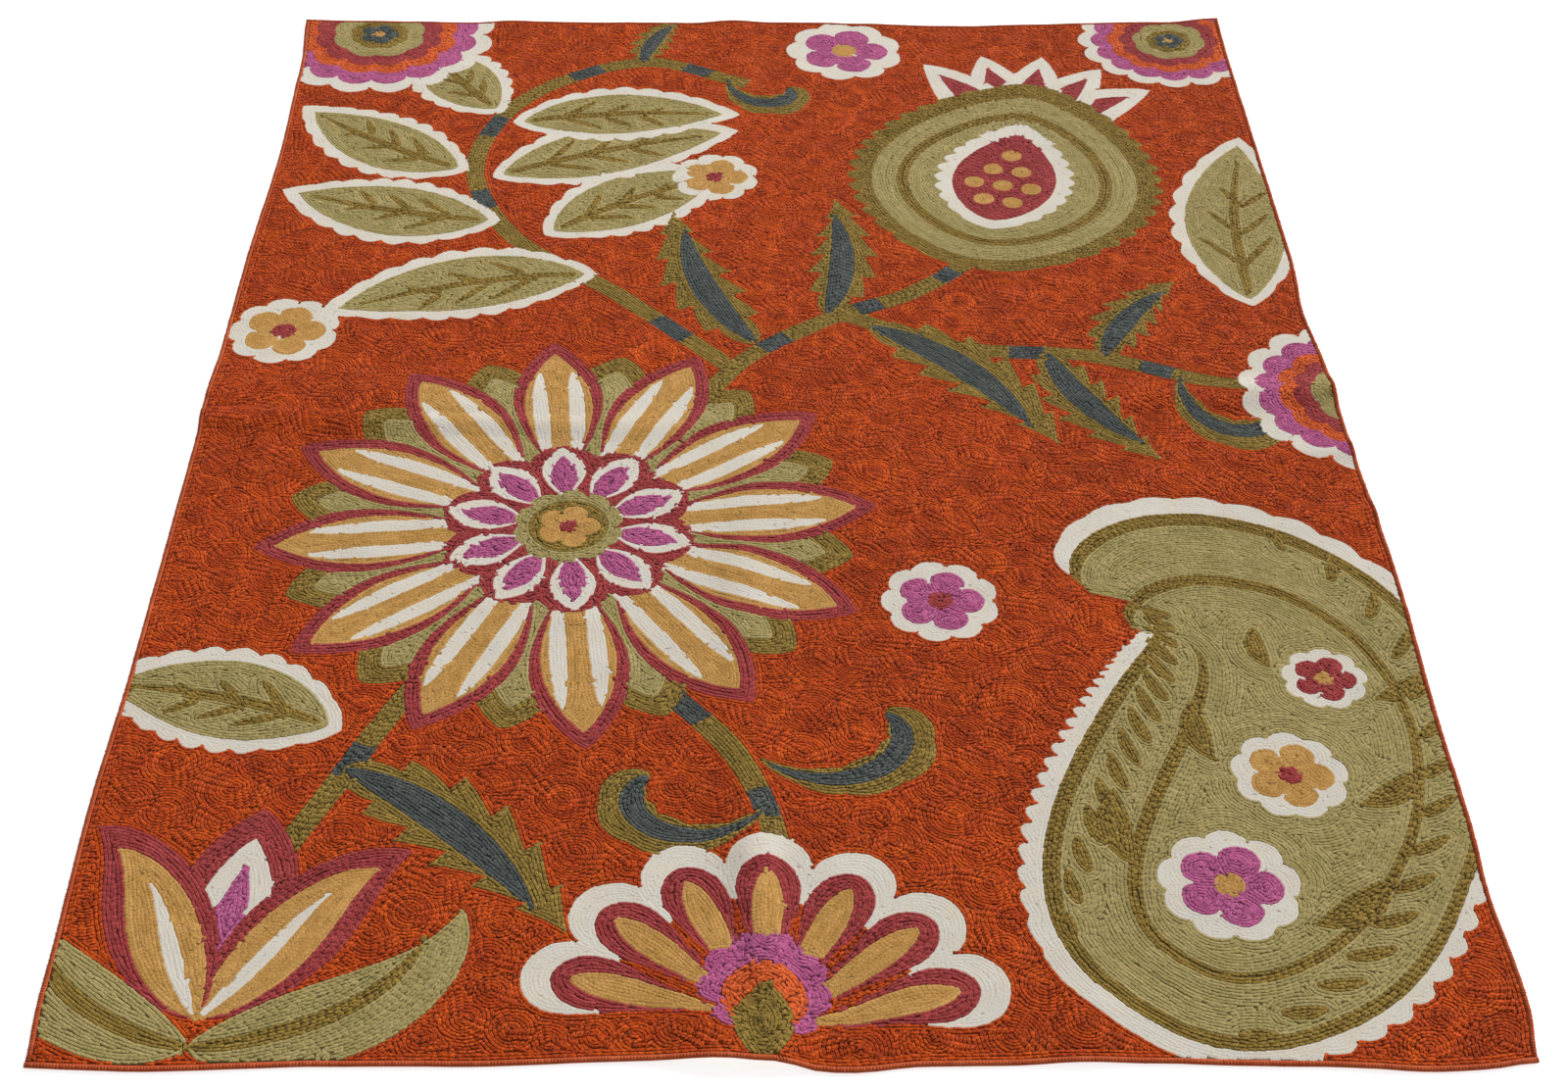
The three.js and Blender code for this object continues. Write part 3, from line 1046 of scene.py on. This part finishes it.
def make_stitches(name, which, height, rounded):
    """One piece that holds the given stitches, which stand up by a height. A lower ridge is wider and starts
    higher up, so no canvas shows beside it either. A rounded ridge is shaded smooth over its crest."""
    count = len(which)
    centre, angle = stitch_points[which], stitch_angles[which]
    jitter = np.random.default_rng(len(name) * 1000 + count)
    turned = angle + jitter.normal(0, TURN_SPREAD, count)
    c, n = np.cos(turned), np.sin(turned)
    long, wide, tall = (1 + jitter.normal(0, spread, count) for spread in SIZE_SPREADS)
    u = STITCH_POINTS[:, 0] * STITCH_LENGTH * long[:, None]
    width = STITCH_WIDTH * (1 + WIDER * (1 - height / STITCH_HEIGHT))
    v = STITCH_POINTS[:, 1] * width * wide[:, None] + jitter.normal(0, ASIDE_SPREAD, (count, 1))
    base = STITCH_BASE + BASE_SHARE * (STITCH_HEIGHT - height)
    z = base + STITCH_POINTS[:, 2] * height * tall[:, None]
    x = centre[:, :1] + u * c[:, None] - v * n[:, None]
    y = centre[:, 1:] + u * n[:, None] + v * c[:, None]
    points = laid(x.ravel(), y.ravel(), z.ravel())
    faces = (np.arange(count)[:, None, None] * len(STITCH_POINTS) + STITCH_FACES).reshape(-1, 3)
    stitch_uv = STITCH_POINTS[:, [1, 0]] + 0.5
    one = stitch_uv[STITCH_FACES].reshape(-1, 2)
    corner, side = bake_layout(count)
    uvs = {
        "stitch": np.tile(one, (count, 1)),
        "OFBake": (corner[:, None, :] + side * (0.12 + 0.76 * one)).reshape(-1, 2),
    }
    # The row tone also carries the painted shade at the coils' middles.
    tone = 0.5 + OWN_TONE * jitter.uniform(-1, 1, count) + ROW_SHARE * stitch_tones_and_shade[which]
    values = {"tone": np.repeat(tone.clip(0, 1), len(STITCH_POINTS))}
    made = make_mesh(name, points, faces, uvs, values, np.tile(STITCH_SMOOTH & rounded, count))
    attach(made, "root")
    return made


# %% [markdown]
# ## One piece for each yarn
# A shared library repaints a part by its yarns, so each colour is a piece of its own, and the ground, which
# has the most stitches, is split front from back.

# %% Stitch pieces
PIECE_LIMIT = 19500


def split(which):
    """Groups of stitches, front to back, none with more than PIECE_LIMIT stitches."""
    order = which[np.argsort(stitch_points[which, 1])]
    return np.array_split(order, math.ceil(len(order) / PIECE_LIMIT))


stitch_pieces = {}
for number, yarn in enumerate(YARN_NAMES):
    mine = np.nonzero(stitch_yarns == number)[0]
    for part, which in enumerate(split(mine)):
        name = f"stitches_{yarn}_{part + 1}"
        height = STITCH_HEIGHT * FLATTER.get(yarn, 1)
        stitch_pieces[name] = make_stitches(name, which, height, yarn not in FLAT_SHADED)
print({name: len(piece.data.polygons) for name, piece in stitch_pieces.items()})

# %% [markdown]
# ## The canvas
# One cotton canvas carries the stitches. Its top lies in the shade between them and is painted the colour of
# the yarns near it, darkened by a painted shade, and its underside is the plain woven cotton.

# %% Canvas
CANVAS_STEP = 0.011
CANVAS_GAP = 0.0003
NEARBY = np.linspace(-0.005, 0.005, 5)
# how much painted shade darkens the canvas top between the stitches
PAINTED_GAP_SHADE = 0.85


def shade_below(x, y):
    """The colour deep between the stitches: the mean of the yarns that lie within 5 mm, darkened a little by
    a painted shade.
    """
    colours = np.array([linear(YARNS[name]) for name in YARN_NAMES])
    u, v = (part.ravel() for part in np.meshgrid(NEARBY, NEARBY))
    yarn = yarn_of[shown[squares(x[:, None] + u, y[:, None] + v)]]
    return colours[yarn].mean(axis=1) * (PAINTED_GAP_SHADE, PAINTED_GAP_SHADE, PAINTED_GAP_SHADE, 1)


def make_canvas():
    """A closed sheet: a top and an underside grid, joined round the rim."""
    reach = WORKED - CANVAS_GAP
    columns, rows = (int(2 * side / CANVAS_STEP) + 1 for side in reach)
    across, along = np.linspace(-reach[0], reach[0], columns), np.linspace(-reach[1], reach[1], rows)
    x, y = (part.ravel() for part in np.meshgrid(across, along))
    top = laid(x, y, np.full_like(x, CANVAS_TOP))
    under = laid(x, y, np.zeros_like(x))
    size = columns * rows
    ring = np.concatenate([
        np.arange(columns - 1),
        np.arange(rows - 1) * columns + columns - 1,
        size - 1 - np.arange(columns - 1),
        (rows - 1 - np.arange(rows - 1)) * columns,
    ])
    after = np.roll(ring, -1)
    lower = np.stack([ring + size, after + size, after], axis=1)
    upper = np.stack([ring + size, after, ring], axis=1)
    wall = np.concatenate([lower, upper])
    faces = np.concatenate([grid_faces(columns, rows), grid_faces(columns, rows, size, flip=True), wall])
    covered = np.concatenate([np.ones(size), np.zeros(size)])
    values = {"covered": covered, "below": np.tile(shade_below(x, y), (2, 1))}
    uv = np.stack([x / WIDTH + 0.5, y / LENGTH + 0.5], axis=1) * (0.5, 1)
    both = np.vstack([uv, uv + (0.5, 0)])
    made = make_mesh("canvas", np.vstack([top, under]), faces, {"OFBake": both[faces].reshape(-1, 2)}, values)
    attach(made, "root")
    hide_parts("cloth")
    return made


canvas = make_canvas()
print(len(canvas.data.polygons), "canvas triangles")

# %% [markdown]
# ## The overcast edges
# Yarn is wrapped closely over the turned edge of the canvas. Each wrap is a short closed ridge that starts on
# top, goes round the outside and ends underneath, and a plain core fills the turned edge below them.

# %% Edge wraps
WRAP_STEP = 0.0033
WRAP_PATH = np.array(
    [
        # out from the seam, height
        (0.0, 0.0036),
        (0.0022, 0.0048),
        (0.0056, 0.0043),
        (0.0068, 0.0022),
        (0.0052, 0.0004),
    ]
)
CORE_LINES = np.array(
    [
        # out from the seam, height
        (0.0004, 0.0006),
        (0.0058, 0.0006),
        (0.0062, 0.0022),
        (0.0052, 0.0036),
        (0.0004, 0.0036),
    ]
)
LEFT_FACES = [(k, k + 1, 5) for k in range(4)]
RIGHT_FACES = [(k + 1, k, 6) for k in range(4)]
WRAP_FACES = np.array([*LEFT_FACES, *RIGHT_FACES, (0, 5, 6), (4, 6, 5)])
WRAP_UV = np.array([(0.5, 0), (0.5, 0.25), (0.5, 0.5), (0.5, 0.75), (0.5, 1), (1, 0.5), (0, 0.5)])
WRAP_SLANT = (0.0007, 0.0004)
OUT_SPREAD = 0.03
HEIGHT_SPREAD = 0.0001
HALF_SHARE = 0.54
HALF_SPREAD = 0.06
SIDE_OUT = 0.0046
SIDE_HEIGHT = 0.0026
CORE_STEP = 0.02
CORE_TONE = 0.3


def edge_frame(edge):
    """The corner an edge starts from, its way along, and its way out. Along runs counterclockwise."""
    x, y = HALF
    return {
        "front": ((-x, -y), (1, 0), (0, -1), WIDTH),
        "right": ((x, -y), (0, 1), (1, 0), LENGTH),
        "back": ((x, y), (-1, 0), (0, 1), WIDTH),
        "left": ((-x, y), (0, -1), (-1, 0), LENGTH),
    }[edge]


def make_edge(edge, trim):
    """The core and the wraps of one edge. trim is how much of both ends the neighbouring edges take."""
    corner, way, out, length = edge_frame(edge)
    corner, way, out = (np.array(part, float) for part in (corner, way, out))
    jitter = np.random.default_rng(int(length * 1000) + len(edge))

    def place(along, beyond, height):
        """Flat points from a place along the edge and a distance out from the seam."""
        flat = corner + along[..., None] * way + (beyond[..., None] - EDGE_WIDTH) * out
        return laid(flat[..., 0].ravel(), flat[..., 1].ravel(), np.broadcast_to(height, along.shape).ravel())

    count = int((length - 2 * trim) / WRAP_STEP)
    middle = trim + (np.arange(count) + 0.5) / count * (length - 2 * trim)
    slant = jitter.normal(*WRAP_SLANT, count)
    share = WRAP_PATH[:, 0] / EDGE_WIDTH
    crest_along = middle[:, None] + slant[:, None] * (share - 0.5)
    crest_out = WRAP_PATH[:, 0] * (1 + jitter.normal(0, OUT_SPREAD, (count, 1)))
    crest = place(crest_along, crest_out, WRAP_PATH[:, 1] + jitter.normal(0, HEIGHT_SPREAD, (count, 1)))
    half = HALF_SHARE * WRAP_STEP * (1 + jitter.normal(0, HALF_SPREAD, (count, 1)))
    sides_along = middle[:, None] + half * np.array([1.0, -1.0])
    sides = place(sides_along, np.full((count, 2), SIDE_OUT), SIDE_HEIGHT)
    points = np.concatenate([crest.reshape(count, 5, 3), sides.reshape(count, 2, 3)], axis=1)
    corners = points.shape[1]
    faces = (np.arange(count)[:, None, None] * corners + WRAP_FACES).reshape(-1, 3)
    one = WRAP_UV[WRAP_FACES].reshape(-1, 2)

    stops = int(length / CORE_STEP)
    along = np.linspace(trim + CANVAS_GAP, length - trim - CANVAS_GAP, stops)
    ring = len(CORE_LINES)
    core_along = np.repeat(along, ring).reshape(stops, ring)
    core = place(core_along, np.tile(CORE_LINES[:, 0], (stops, 1)), CORE_LINES[:, 1])
    i, j = (part.ravel() for part in np.meshgrid(np.arange(ring), np.arange(stops - 1)))
    a, b = j * ring + i, j * ring + (i + 1) % ring
    core_faces = np.concatenate([np.stack([a, b + ring, b], 1), np.stack([a, a + ring, b + ring], 1)])
    cap = np.array([(0, k, k + 1) for k in range(1, ring - 1)])
    core_faces = np.concatenate([core_faces, cap, cap[:, ::-1] + (stops - 1) * ring])

    cells, side = bake_layout(count + 1)
    wraps_uv = (cells[:count, None, :] + side * (0.1 + 0.8 * one)).reshape(-1, 2)
    core_uv = np.tile(cells[-1] + side * 0.5, (core_faces.size, 1))
    made = make_mesh(
        f"edge_{edge}",
        np.vstack([points.reshape(-1, 3), core]),
        np.vstack([faces, core_faces + count * corners]),
        {
            "stitch": np.vstack([np.tile(one, (count, 1)), np.full((core_faces.size, 2), 0.5)]),
            "OFBake": np.vstack([wraps_uv, core_uv]),
        },
        {"tone": np.concatenate([np.repeat(jitter.random(count), corners), np.full(len(core), CORE_TONE)])},
    )
    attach(made, "root")
    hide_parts(f"binding_{edge}")
    return made


side_trim = EDGE_WIDTH + CANVAS_GAP
trims = {"front": 0, "right": side_trim, "back": 0, "left": side_trim}
edges = {edge: make_edge(edge, trim) for edge, trim in trims.items()}
print({name: len(piece.data.polygons) for name, piece in edges.items()})

# %% [markdown]
# ## Wool
# Two shared node groups give the yarn its looks. The first unevens its colour: each stitch has its own tone,
# broad patches are a little worn or faded, and fine streaks mix fibres of two dyes. The second is the relief
# inside a stitch: the two legs of the loop, each twisted, and the fuzz of the fibres. It also gives a painted
# shade in the grooves between the loops, in the parting between the legs and in the valleys between rows, and
# a painted light on the legs, which the material multiplies into the colour.

# %% Node helpers
def group(name, inputs, outputs):
    """A new shader node group with named sockets: {name: (type, default)} in and {name: type} out."""
    tree = bpy.data.node_groups.new(name, "ShaderNodeTree")
    for label, (kind, default) in inputs.items():
        socket = tree.interface.new_socket(label, in_out="INPUT", socket_type=kind)
        if default is not None:
            socket.default_value = default
    for label, kind in outputs.items():
        tree.interface.new_socket(label, in_out="OUTPUT", socket_type=kind)
    return tree, tree.nodes.new("NodeGroupInput"), tree.nodes.new("NodeGroupOutput")


def node(tree, kind, settings=None, **links):
    """Adds a node, sets its settings, and fills its inputs with values or links. An input is named, or
    numbered as in_0, in_1."""
    made = tree.nodes.new(kind)
    for key, value in (settings or {}).items():
        setattr(made, key, value)
    for key, value in links.items():
        socket = made.inputs[int(key[3:])] if key.startswith("in_") else made.inputs[key.replace("_", " ")]
        if isinstance(value, bpy.types.NodeSocket):
            tree.links.new(value, socket)
        else:
            socket.default_value = value
    return made


def calc(tree, operation, a, b=0.0, c=0.0):
    """The output of a Math node."""
    return node(tree, "ShaderNodeMath", {"operation": operation}, in_0=a, in_1=b, in_2=c).outputs[0]


def scaled(tree, vector, amount):
    """A colour or a direction times a number."""
    return node(tree, "ShaderNodeVectorMath", {"operation": "SCALE"}, in_0=vector, in_3=amount).outputs[0]


def mixed(tree, share, first, second):
    """A mix of two colours: the first where the share is 0, and the second where it is 1."""
    settings = {"data_type": "RGBA"}
    return node(tree, "ShaderNodeMix", settings, in_0=share, in_6=first, in_7=second).outputs[2]


def noise(tree, where, scale, detail=2.0, rough=0.5):
    """A noise value round 0.5 at a place."""
    made = node(tree, "ShaderNodeTexNoise", {}, Vector=where, Scale=scale, Detail=detail, Roughness=rough)
    return made.outputs["Fac"]


# %% Wool colour group
# noise scales: cycles per metre
BROAD_SCALE = 5.5
MIDDLE_SCALE = 34.0
FINE_SCALE = 900.0
STREAK_SHARE = 0.8


def make_wool_colour():
    """Colour = yarn x (1 + tone + worn patches + streaks), with a slight drift towards a second dye."""
    tree, given, result = group(
        "wool colour",
        {
            "Yarn": ("NodeSocketColor", (0.5, 0.5, 0.5, 1)),
            "Drift": ("NodeSocketColor", (0.5, 0.5, 0.5, 1)),
            "Tone": ("NodeSocketFloat", 0.5),
            "Tone range": ("NodeSocketFloat", 0.2),
            "Patches": ("NodeSocketFloat", 0.15),
        },
        {"Colour": "NodeSocketColor"},
    )
    where = node(tree, "ShaderNodeTexCoord").outputs["Object"]
    broad = noise(tree, where, BROAD_SCALE, 3.0)
    middle = noise(tree, where, MIDDLE_SCALE, 2.0)
    fine = noise(tree, where, FINE_SCALE, 2.0)
    own, tone_range = given.outputs["Tone"], given.outputs["Tone range"]
    tone = calc(tree, "MULTIPLY", calc(tree, "SUBTRACT", own, 0.5), tone_range)
    worn = calc(tree, "SUBTRACT", calc(tree, "ADD", broad, calc(tree, "MULTIPLY", middle, 0.8)), 0.9)
    patches = calc(tree, "MULTIPLY", worn, given.outputs["Patches"])
    streak_range = calc(tree, "MULTIPLY", tone_range, STREAK_SHARE)
    streaks = calc(tree, "MULTIPLY", calc(tree, "SUBTRACT", fine, 0.5), streak_range)
    light = calc(tree, "ADD", calc(tree, "ADD", calc(tree, "ADD", tone, patches), streaks), 1.0)
    faded = calc(tree, "SUBTRACT", middle, 0.5)
    share = calc(tree, "MULTIPLY_ADD", faded, 1.6, calc(tree, "MULTIPLY", own, 0.6))
    dyed = mixed(tree, share, given.outputs["Yarn"], given.outputs["Drift"])
    tree.links.new(scaled(tree, dyed, light), result.inputs["Colour"])
    return tree


wool_colour = make_wool_colour()


# %% Stitch relief and painted shade group
# Painted shade and light in a stitch, as shares of the colour: the ticks in the grooves, the valleys between
# rows, the parting between the legs, the painted light on the legs, and the darkest the painted shade goes.
TICK_SHADE = 0.62
VALLEY_SHADE = 0.34
PARTING_SHADE = 0.1
PAINTED_LEG_LIGHT = 1.12
DARKEST = 0.2
FUZZ_SCALE = 2300.0


def make_relief_and_painted_shade():
    """Height and painted shade over a ridge's own u (across) and v (along). With a = |2u - 1|, the loops'
    phase is p = fraction of (2v + a/2 + (u - 1/2)/3 + 3 tone): a slanted groove at p = 0, and a round leg
    between two grooves. A thin groove at a = 0 parts the two legs, and a valley at a = 1 parts the rows. The
    shade is
    painted into the colour: it darkens the grooves, the parting and the valleys, and a painted light lifts
    the legs. How dark the painted shade in the grooves and the valleys is differs from ridge to ridge:
    fractions of
    7.3 tone and 17.9 tone."""
    tree, given, result = group(
        "stitch relief and painted shade",
        {
            "Stitch": ("NodeSocketVector", None),
            "Tone": ("NodeSocketFloat", 0.5),
            "Depth": ("NodeSocketFloat", 1.0),
            "Fuzz": ("NodeSocketFloat", 0.3),
        },
        {"Height": "NodeSocketFloat", "Shade": "NodeSocketFloat"},
    )
    parts = node(tree, "ShaderNodeSeparateXYZ", {}, Vector=given.outputs["Stitch"])
    u, v = parts.outputs[0], parts.outputs[1]
    tone, depth = given.outputs["Tone"], given.outputs["Depth"]
    across = calc(tree, "ABSOLUTE", calc(tree, "MULTIPLY_ADD", u, 2.0, -1.0))
    one_way = calc(tree, "MULTIPLY", calc(tree, "SUBTRACT", u, 0.5), 0.33)
    slant = calc(tree, "MULTIPLY_ADD", across, 0.5, one_way)
    start = calc(tree, "ADD", calc(tree, "MULTIPLY", tone, 3.0), slant)
    phase = calc(tree, "FRACT", calc(tree, "MULTIPLY_ADD", v, 2.0, start))
    groove = calc(tree, "ABSOLUTE", calc(tree, "MULTIPLY_ADD", phase, 2.0, -1.0))
    inside = calc(tree, "SUBTRACT", 1.0, calc(tree, "MULTIPLY", groove, groove))
    leg = calc(tree, "SQRT", calc(tree, "MAXIMUM", inside, 0.0))
    centre = node(tree, "ShaderNodeClamp", {}, Value=calc(tree, "MULTIPLY_ADD", across, -4.5, 1.0)).outputs[0]
    valley = calc(tree, "POWER", calc(tree, "MINIMUM", calc(tree, "MULTIPLY", across, 1.3), 1.0), 3.0)
    where = node(tree, "ShaderNodeTexCoord").outputs["Object"]
    fuzz = calc(tree, "MULTIPLY", noise(tree, where, FUZZ_SCALE, 2.0, 0.65), given.outputs["Fuzz"])
    loop = calc(tree, "MULTIPLY", calc(tree, "MULTIPLY_ADD", centre, -0.5, leg), depth)
    height = calc(tree, "ADD", loop, fuzz)
    # Painted shade: the ticks in the grooves, the valleys between the rows and the parting between the legs
    # darken the colour, and the legs get a painted light.
    own = calc(tree, "MULTIPLY_ADD", calc(tree, "FRACT", calc(tree, "MULTIPLY", tone, 7.3)), 0.8, 0.2)
    sides = calc(tree, "MULTIPLY", own, calc(tree, "MULTIPLY_ADD", across, 1.1, 0.3))
    painted_tick_shade = calc(tree, "MULTIPLY", calc(tree, "MULTIPLY", calc(tree, "POWER", groove, 3.0), TICK_SHADE), sides)
    other = calc(tree, "MULTIPLY_ADD", calc(tree, "FRACT", calc(tree, "MULTIPLY", tone, 17.9)), 0.9, 0.1)
    painted_valley_shade = calc(tree, "MULTIPLY", calc(tree, "MULTIPLY", valley, other), VALLEY_SHADE)
    painted_shade = calc(tree, "ADD", calc(tree, "ADD", painted_valley_shade, painted_tick_shade), calc(tree, "MULTIPLY", centre, PARTING_SHADE))
    shade = calc(tree, "MULTIPLY_ADD", painted_shade, calc(tree, "MULTIPLY", depth, -1.0), PAINTED_LEG_LIGHT)
    shade = calc(tree, "MAXIMUM", shade, DARKEST)
    tree.links.new(height, result.inputs["Height"])
    tree.links.new(shade, result.inputs["Shade"])
    return tree


relief_and_painted_shade = make_relief_and_painted_shade()

# %% [markdown]
# ## The yarn materials
# Each yarn has its own material, made of the two groups. The drift colour is a second dye of the same family.

# %% Yarn materials
DRIFT = {
    "rust": (164, 67, 13),
    "coral": (178, 82, 38),
    "cream": (164, 155, 139),
    "light_olive": (137, 122, 82),
    "dark_olive": (124, 101, 45),
    "crimson": (135, 55, 55),
    "orchid": (153, 80, 116),
    "ochre": (157, 120, 69),
    "slate": (75, 79, 76),
}
EDGE_YARN = (146, 63, 33)
EDGE_DRIFT = (161, 82, 49)
# for each yarn, how deep the loops' bump is and how dark their painted shade is
LOOP_DEPTH = {"rust": 2.0, "cream": 0.35, "light_olive": 0.9, "slate": 2.0, "dark_olive": 1.7, "ochre": 1.0}
TONE_RANGE = {"rust": 0.54, "cream": 0.1, "light_olive": 0.34, "dark_olive": 0.44, "slate": 0.5}
FUZZ_SHARE = 0.22
LOOP_HEIGHT = 0.0005
LOOP_STRENGTH = 0.7
EVENED = {"light_olive": 0.58, "crimson": 0.3, "orchid": 0.3}
WOOL_FINISH = {
    "Roughness": 0.92,
    "Sheen Weight": 0.03,
    "Sheen Roughness": 0.5,
    "Specular IOR Level": 0.06,
}


def new_material(name, finish):
    """A material with the given values on its surface shader: the material, its node tree and the shader."""
    material = bpy.data.materials.new(name)
    material.use_nodes = True
    shader = material.node_tree.nodes["Principled BSDF"]
    for label, value in finish.items():
        shader.inputs[label].default_value = value
    return material, material.node_tree, shader


def put_group(tree, shared, **links):
    """Places a shared group in a material's tree."""
    return node(tree, "ShaderNodeGroup", {"node_tree": shared}, **links)


def attribute(tree, name, output="Fac"):
    """A named value of the mesh, as a number or a colour."""
    return node(tree, "ShaderNodeAttribute", {"attribute_name": name}).outputs[output]


def yarn_material(name, yarn, drift, depth=1.0, tone_range=0.3, patches=0.16, evened=0.0):
    """Wool: rough, with a faint sheen of loose fibres. evened is how far the shading goes from the rounded
    slopes to the flat ones."""
    material, tree, shader = new_material(f"wool_{name}", WOOL_FINISH)
    tone = attribute(tree, "tone")
    stitch = node(tree, "ShaderNodeUVMap", {"uv_map": "stitch"}).outputs[0]
    relief = put_group(tree, relief_and_painted_shade, Stitch=stitch, Tone=tone, Depth=depth, Fuzz=FUZZ_SHARE * depth)
    colours = {"Yarn": linear(yarn), "Drift": linear(drift)}
    colour = put_group(tree, wool_colour, Tone=tone, Tone_range=tone_range, Patches=patches, **colours)
    # The yarn's colour is multiplied by the painted shade of its grooves and valleys.
    tree.links.new(scaled(tree, colour.outputs[0], relief.outputs["Shade"]), shader.inputs["Base Color"])
    height = relief.outputs["Height"]
    bump_node = node(tree, "ShaderNodeBump", {}, Strength=LOOP_STRENGTH, Distance=LOOP_HEIGHT, Height=height)
    if evened:
        surface = node(tree, "ShaderNodeNewGeometry").outputs
        flat = scaled(tree, surface["True Normal"], evened)
        rounded = scaled(tree, surface["Normal"], 1 - evened)
        both = node(tree, "ShaderNodeVectorMath", {"operation": "ADD"}, in_0=flat, in_1=rounded)
        level = node(tree, "ShaderNodeVectorMath", {"operation": "NORMALIZE"}, in_0=both.outputs[0])
        tree.links.new(level.outputs[0], bump_node.inputs["Normal"])
    tree.links.new(bump_node.outputs[0], shader.inputs["Normal"])
    return material


wool = {
    name: yarn_material(
        name,
        YARNS[name],
        DRIFT[name],
        depth=LOOP_DEPTH.get(name, 1.2),
        tone_range=TONE_RANGE.get(name, 0.36),
        evened=EVENED.get(name, 0.0),
    )
    for name in YARN_NAMES
}
# The wraps get a weak painted shade between them.
edge_wool = yarn_material("edge", EDGE_YARN, EDGE_DRIFT, 0.4)
for name, piece in stitch_pieces.items():
    piece.data.materials.append(wool[name.split("_", 1)[1].rsplit("_", 1)[0]])
for piece in edges.values():
    piece.data.materials.append(edge_wool)
print(len(wool) + 1, "wool materials")

# %% Canvas material
COTTON = (206, 192, 160)
COTTON_FINISH = {"Roughness": 0.95, "Specular IOR Level": 0.2}
THREAD = 0.0016
THREAD_HEIGHT = 0.0004
THREAD_STRENGTH = 0.5
BLOTCH_SCALE = 14.0


def canvas_material():
    """Cotton: over and under threads 1.6 mm apart on the underside, and on top the colour of the yarns near
    it with a painted shade.
    """
    material, tree, shader = new_material("cotton_canvas", COTTON_FINISH)
    where = node(tree, "ShaderNodeTexCoord").outputs["Object"]
    parts = node(tree, "ShaderNodeSeparateXYZ", {}, Vector=where)
    across = calc(tree, "SINE", calc(tree, "MULTIPLY", parts.outputs[0], math.pi / THREAD))
    along = calc(tree, "SINE", calc(tree, "MULTIPLY", parts.outputs[1], math.pi / THREAD))
    weave = calc(tree, "MULTIPLY", across, along)
    covered = attribute(tree, "covered")
    blotch = noise(tree, where, BLOTCH_SCALE, 4.0)
    worn = calc(tree, "MULTIPLY_ADD", blotch, 0.3, 0.83)
    light = calc(tree, "ADD", worn, calc(tree, "MULTIPLY", weave, 0.07))
    # The canvas top's colour: the yarns near it, with a painted shade.
    below = attribute(tree, "below", "Color")
    colour = scaled(tree, mixed(tree, covered, linear(COTTON), below), light)
    tree.links.new(colour, shader.inputs["Base Color"])
    relief = {"Strength": THREAD_STRENGTH, "Distance": THREAD_HEIGHT}
    bump_node = node(tree, "ShaderNodeBump", {}, Height=weave, **relief)
    tree.links.new(bump_node.outputs[0], shader.inputs["Normal"])
    return material


canvas.data.materials.append(canvas_material())
print("canvas material made")

# %% [markdown]
# ## Floor, light and frame
# The photograph has a plain white ground, lit from below like a light table, so shadows on it stay faint.
# Its light is a broad window behind the rug and to the right, which leaves the near side of the cross folds
# and the left side of the lengthwise ones in a soft shade. The far end is a little brighter than the near
# one, so a weak lamp hangs over it.

# %% Floor
SQUARE = [(-1, -1), (1, -1), (1, 1), (-1, 1)]
FLOOR_REACH = 9
FLOOR_DEPTH = 0.0002
FLOOR_FINISH = {
    "Base Color": (0.5, 0.5, 0.5, 1),
    "Roughness": 1.0,
    "Emission Color": (1, 1, 1, 1),
    "Emission Strength": 0.74,
}


def make_floor():
    """A wide plain floor just under the rug."""
    points = np.array([(x * FLOOR_REACH, y * FLOOR_REACH, -FLOOR_DEPTH) for x, y in SQUARE])
    floor = make_mesh("floor", points, np.array([(0, 1, 2), (0, 2, 3)]), smooth=False)
    floor.data.materials.append(new_material("white_floor", FLOOR_FINISH)[0])
    return floor


print(make_floor().name, "made")

# %% Lights
WORLD_LIGHT = 0.45
SUN_POWER = 5.8
SUN_SOFTNESS = math.radians(20)
SUN_FROM = (1.0, 1.1, 0.85)
FAR_LAMP = (-0.2, 1.05, 1.6)
FAR_LAMP_SIZE = 1.6
FAR_LAMP_POWER = 9.0


def sun_light(name, source, power, softness):
    """A wide soft sun that shines from a direction."""
    data = bpy.data.lights.new(name, "SUN")
    data.energy = power
    data.angle = softness
    light = bpy.data.objects.new(name, data)
    x, y, z = source
    light.rotation_euler = (math.atan2(math.hypot(x, y), z), 0, math.atan2(x, -y))
    SCENE.objects.link(light)
    return light


def far_lamp():
    """A weak square lamp over the far end, which faces straight down."""
    data = bpy.data.lights.new("far_lamp", "AREA")
    data.energy = FAR_LAMP_POWER
    data.size = FAR_LAMP_SIZE
    light = bpy.data.objects.new("far_lamp", data)
    light.location = FAR_LAMP
    SCENE.objects.link(light)
    return light


def make_world():
    """An even white sky."""
    world = bpy.data.worlds.new("sky")
    world.use_nodes = True
    background = world.node_tree.nodes["Background"]
    background.inputs["Color"].default_value = (1, 1, 1, 1)
    background.inputs["Strength"].default_value = WORLD_LIGHT
    bpy.context.scene.world = world


make_world()
sun_light("window", SUN_FROM, SUN_POWER, SUN_SOFTNESS)
far_lamp()
bpy.context.scene.view_settings.view_transform = "Standard"
bpy.context.scene.view_settings.look = "None"
print("lights made")
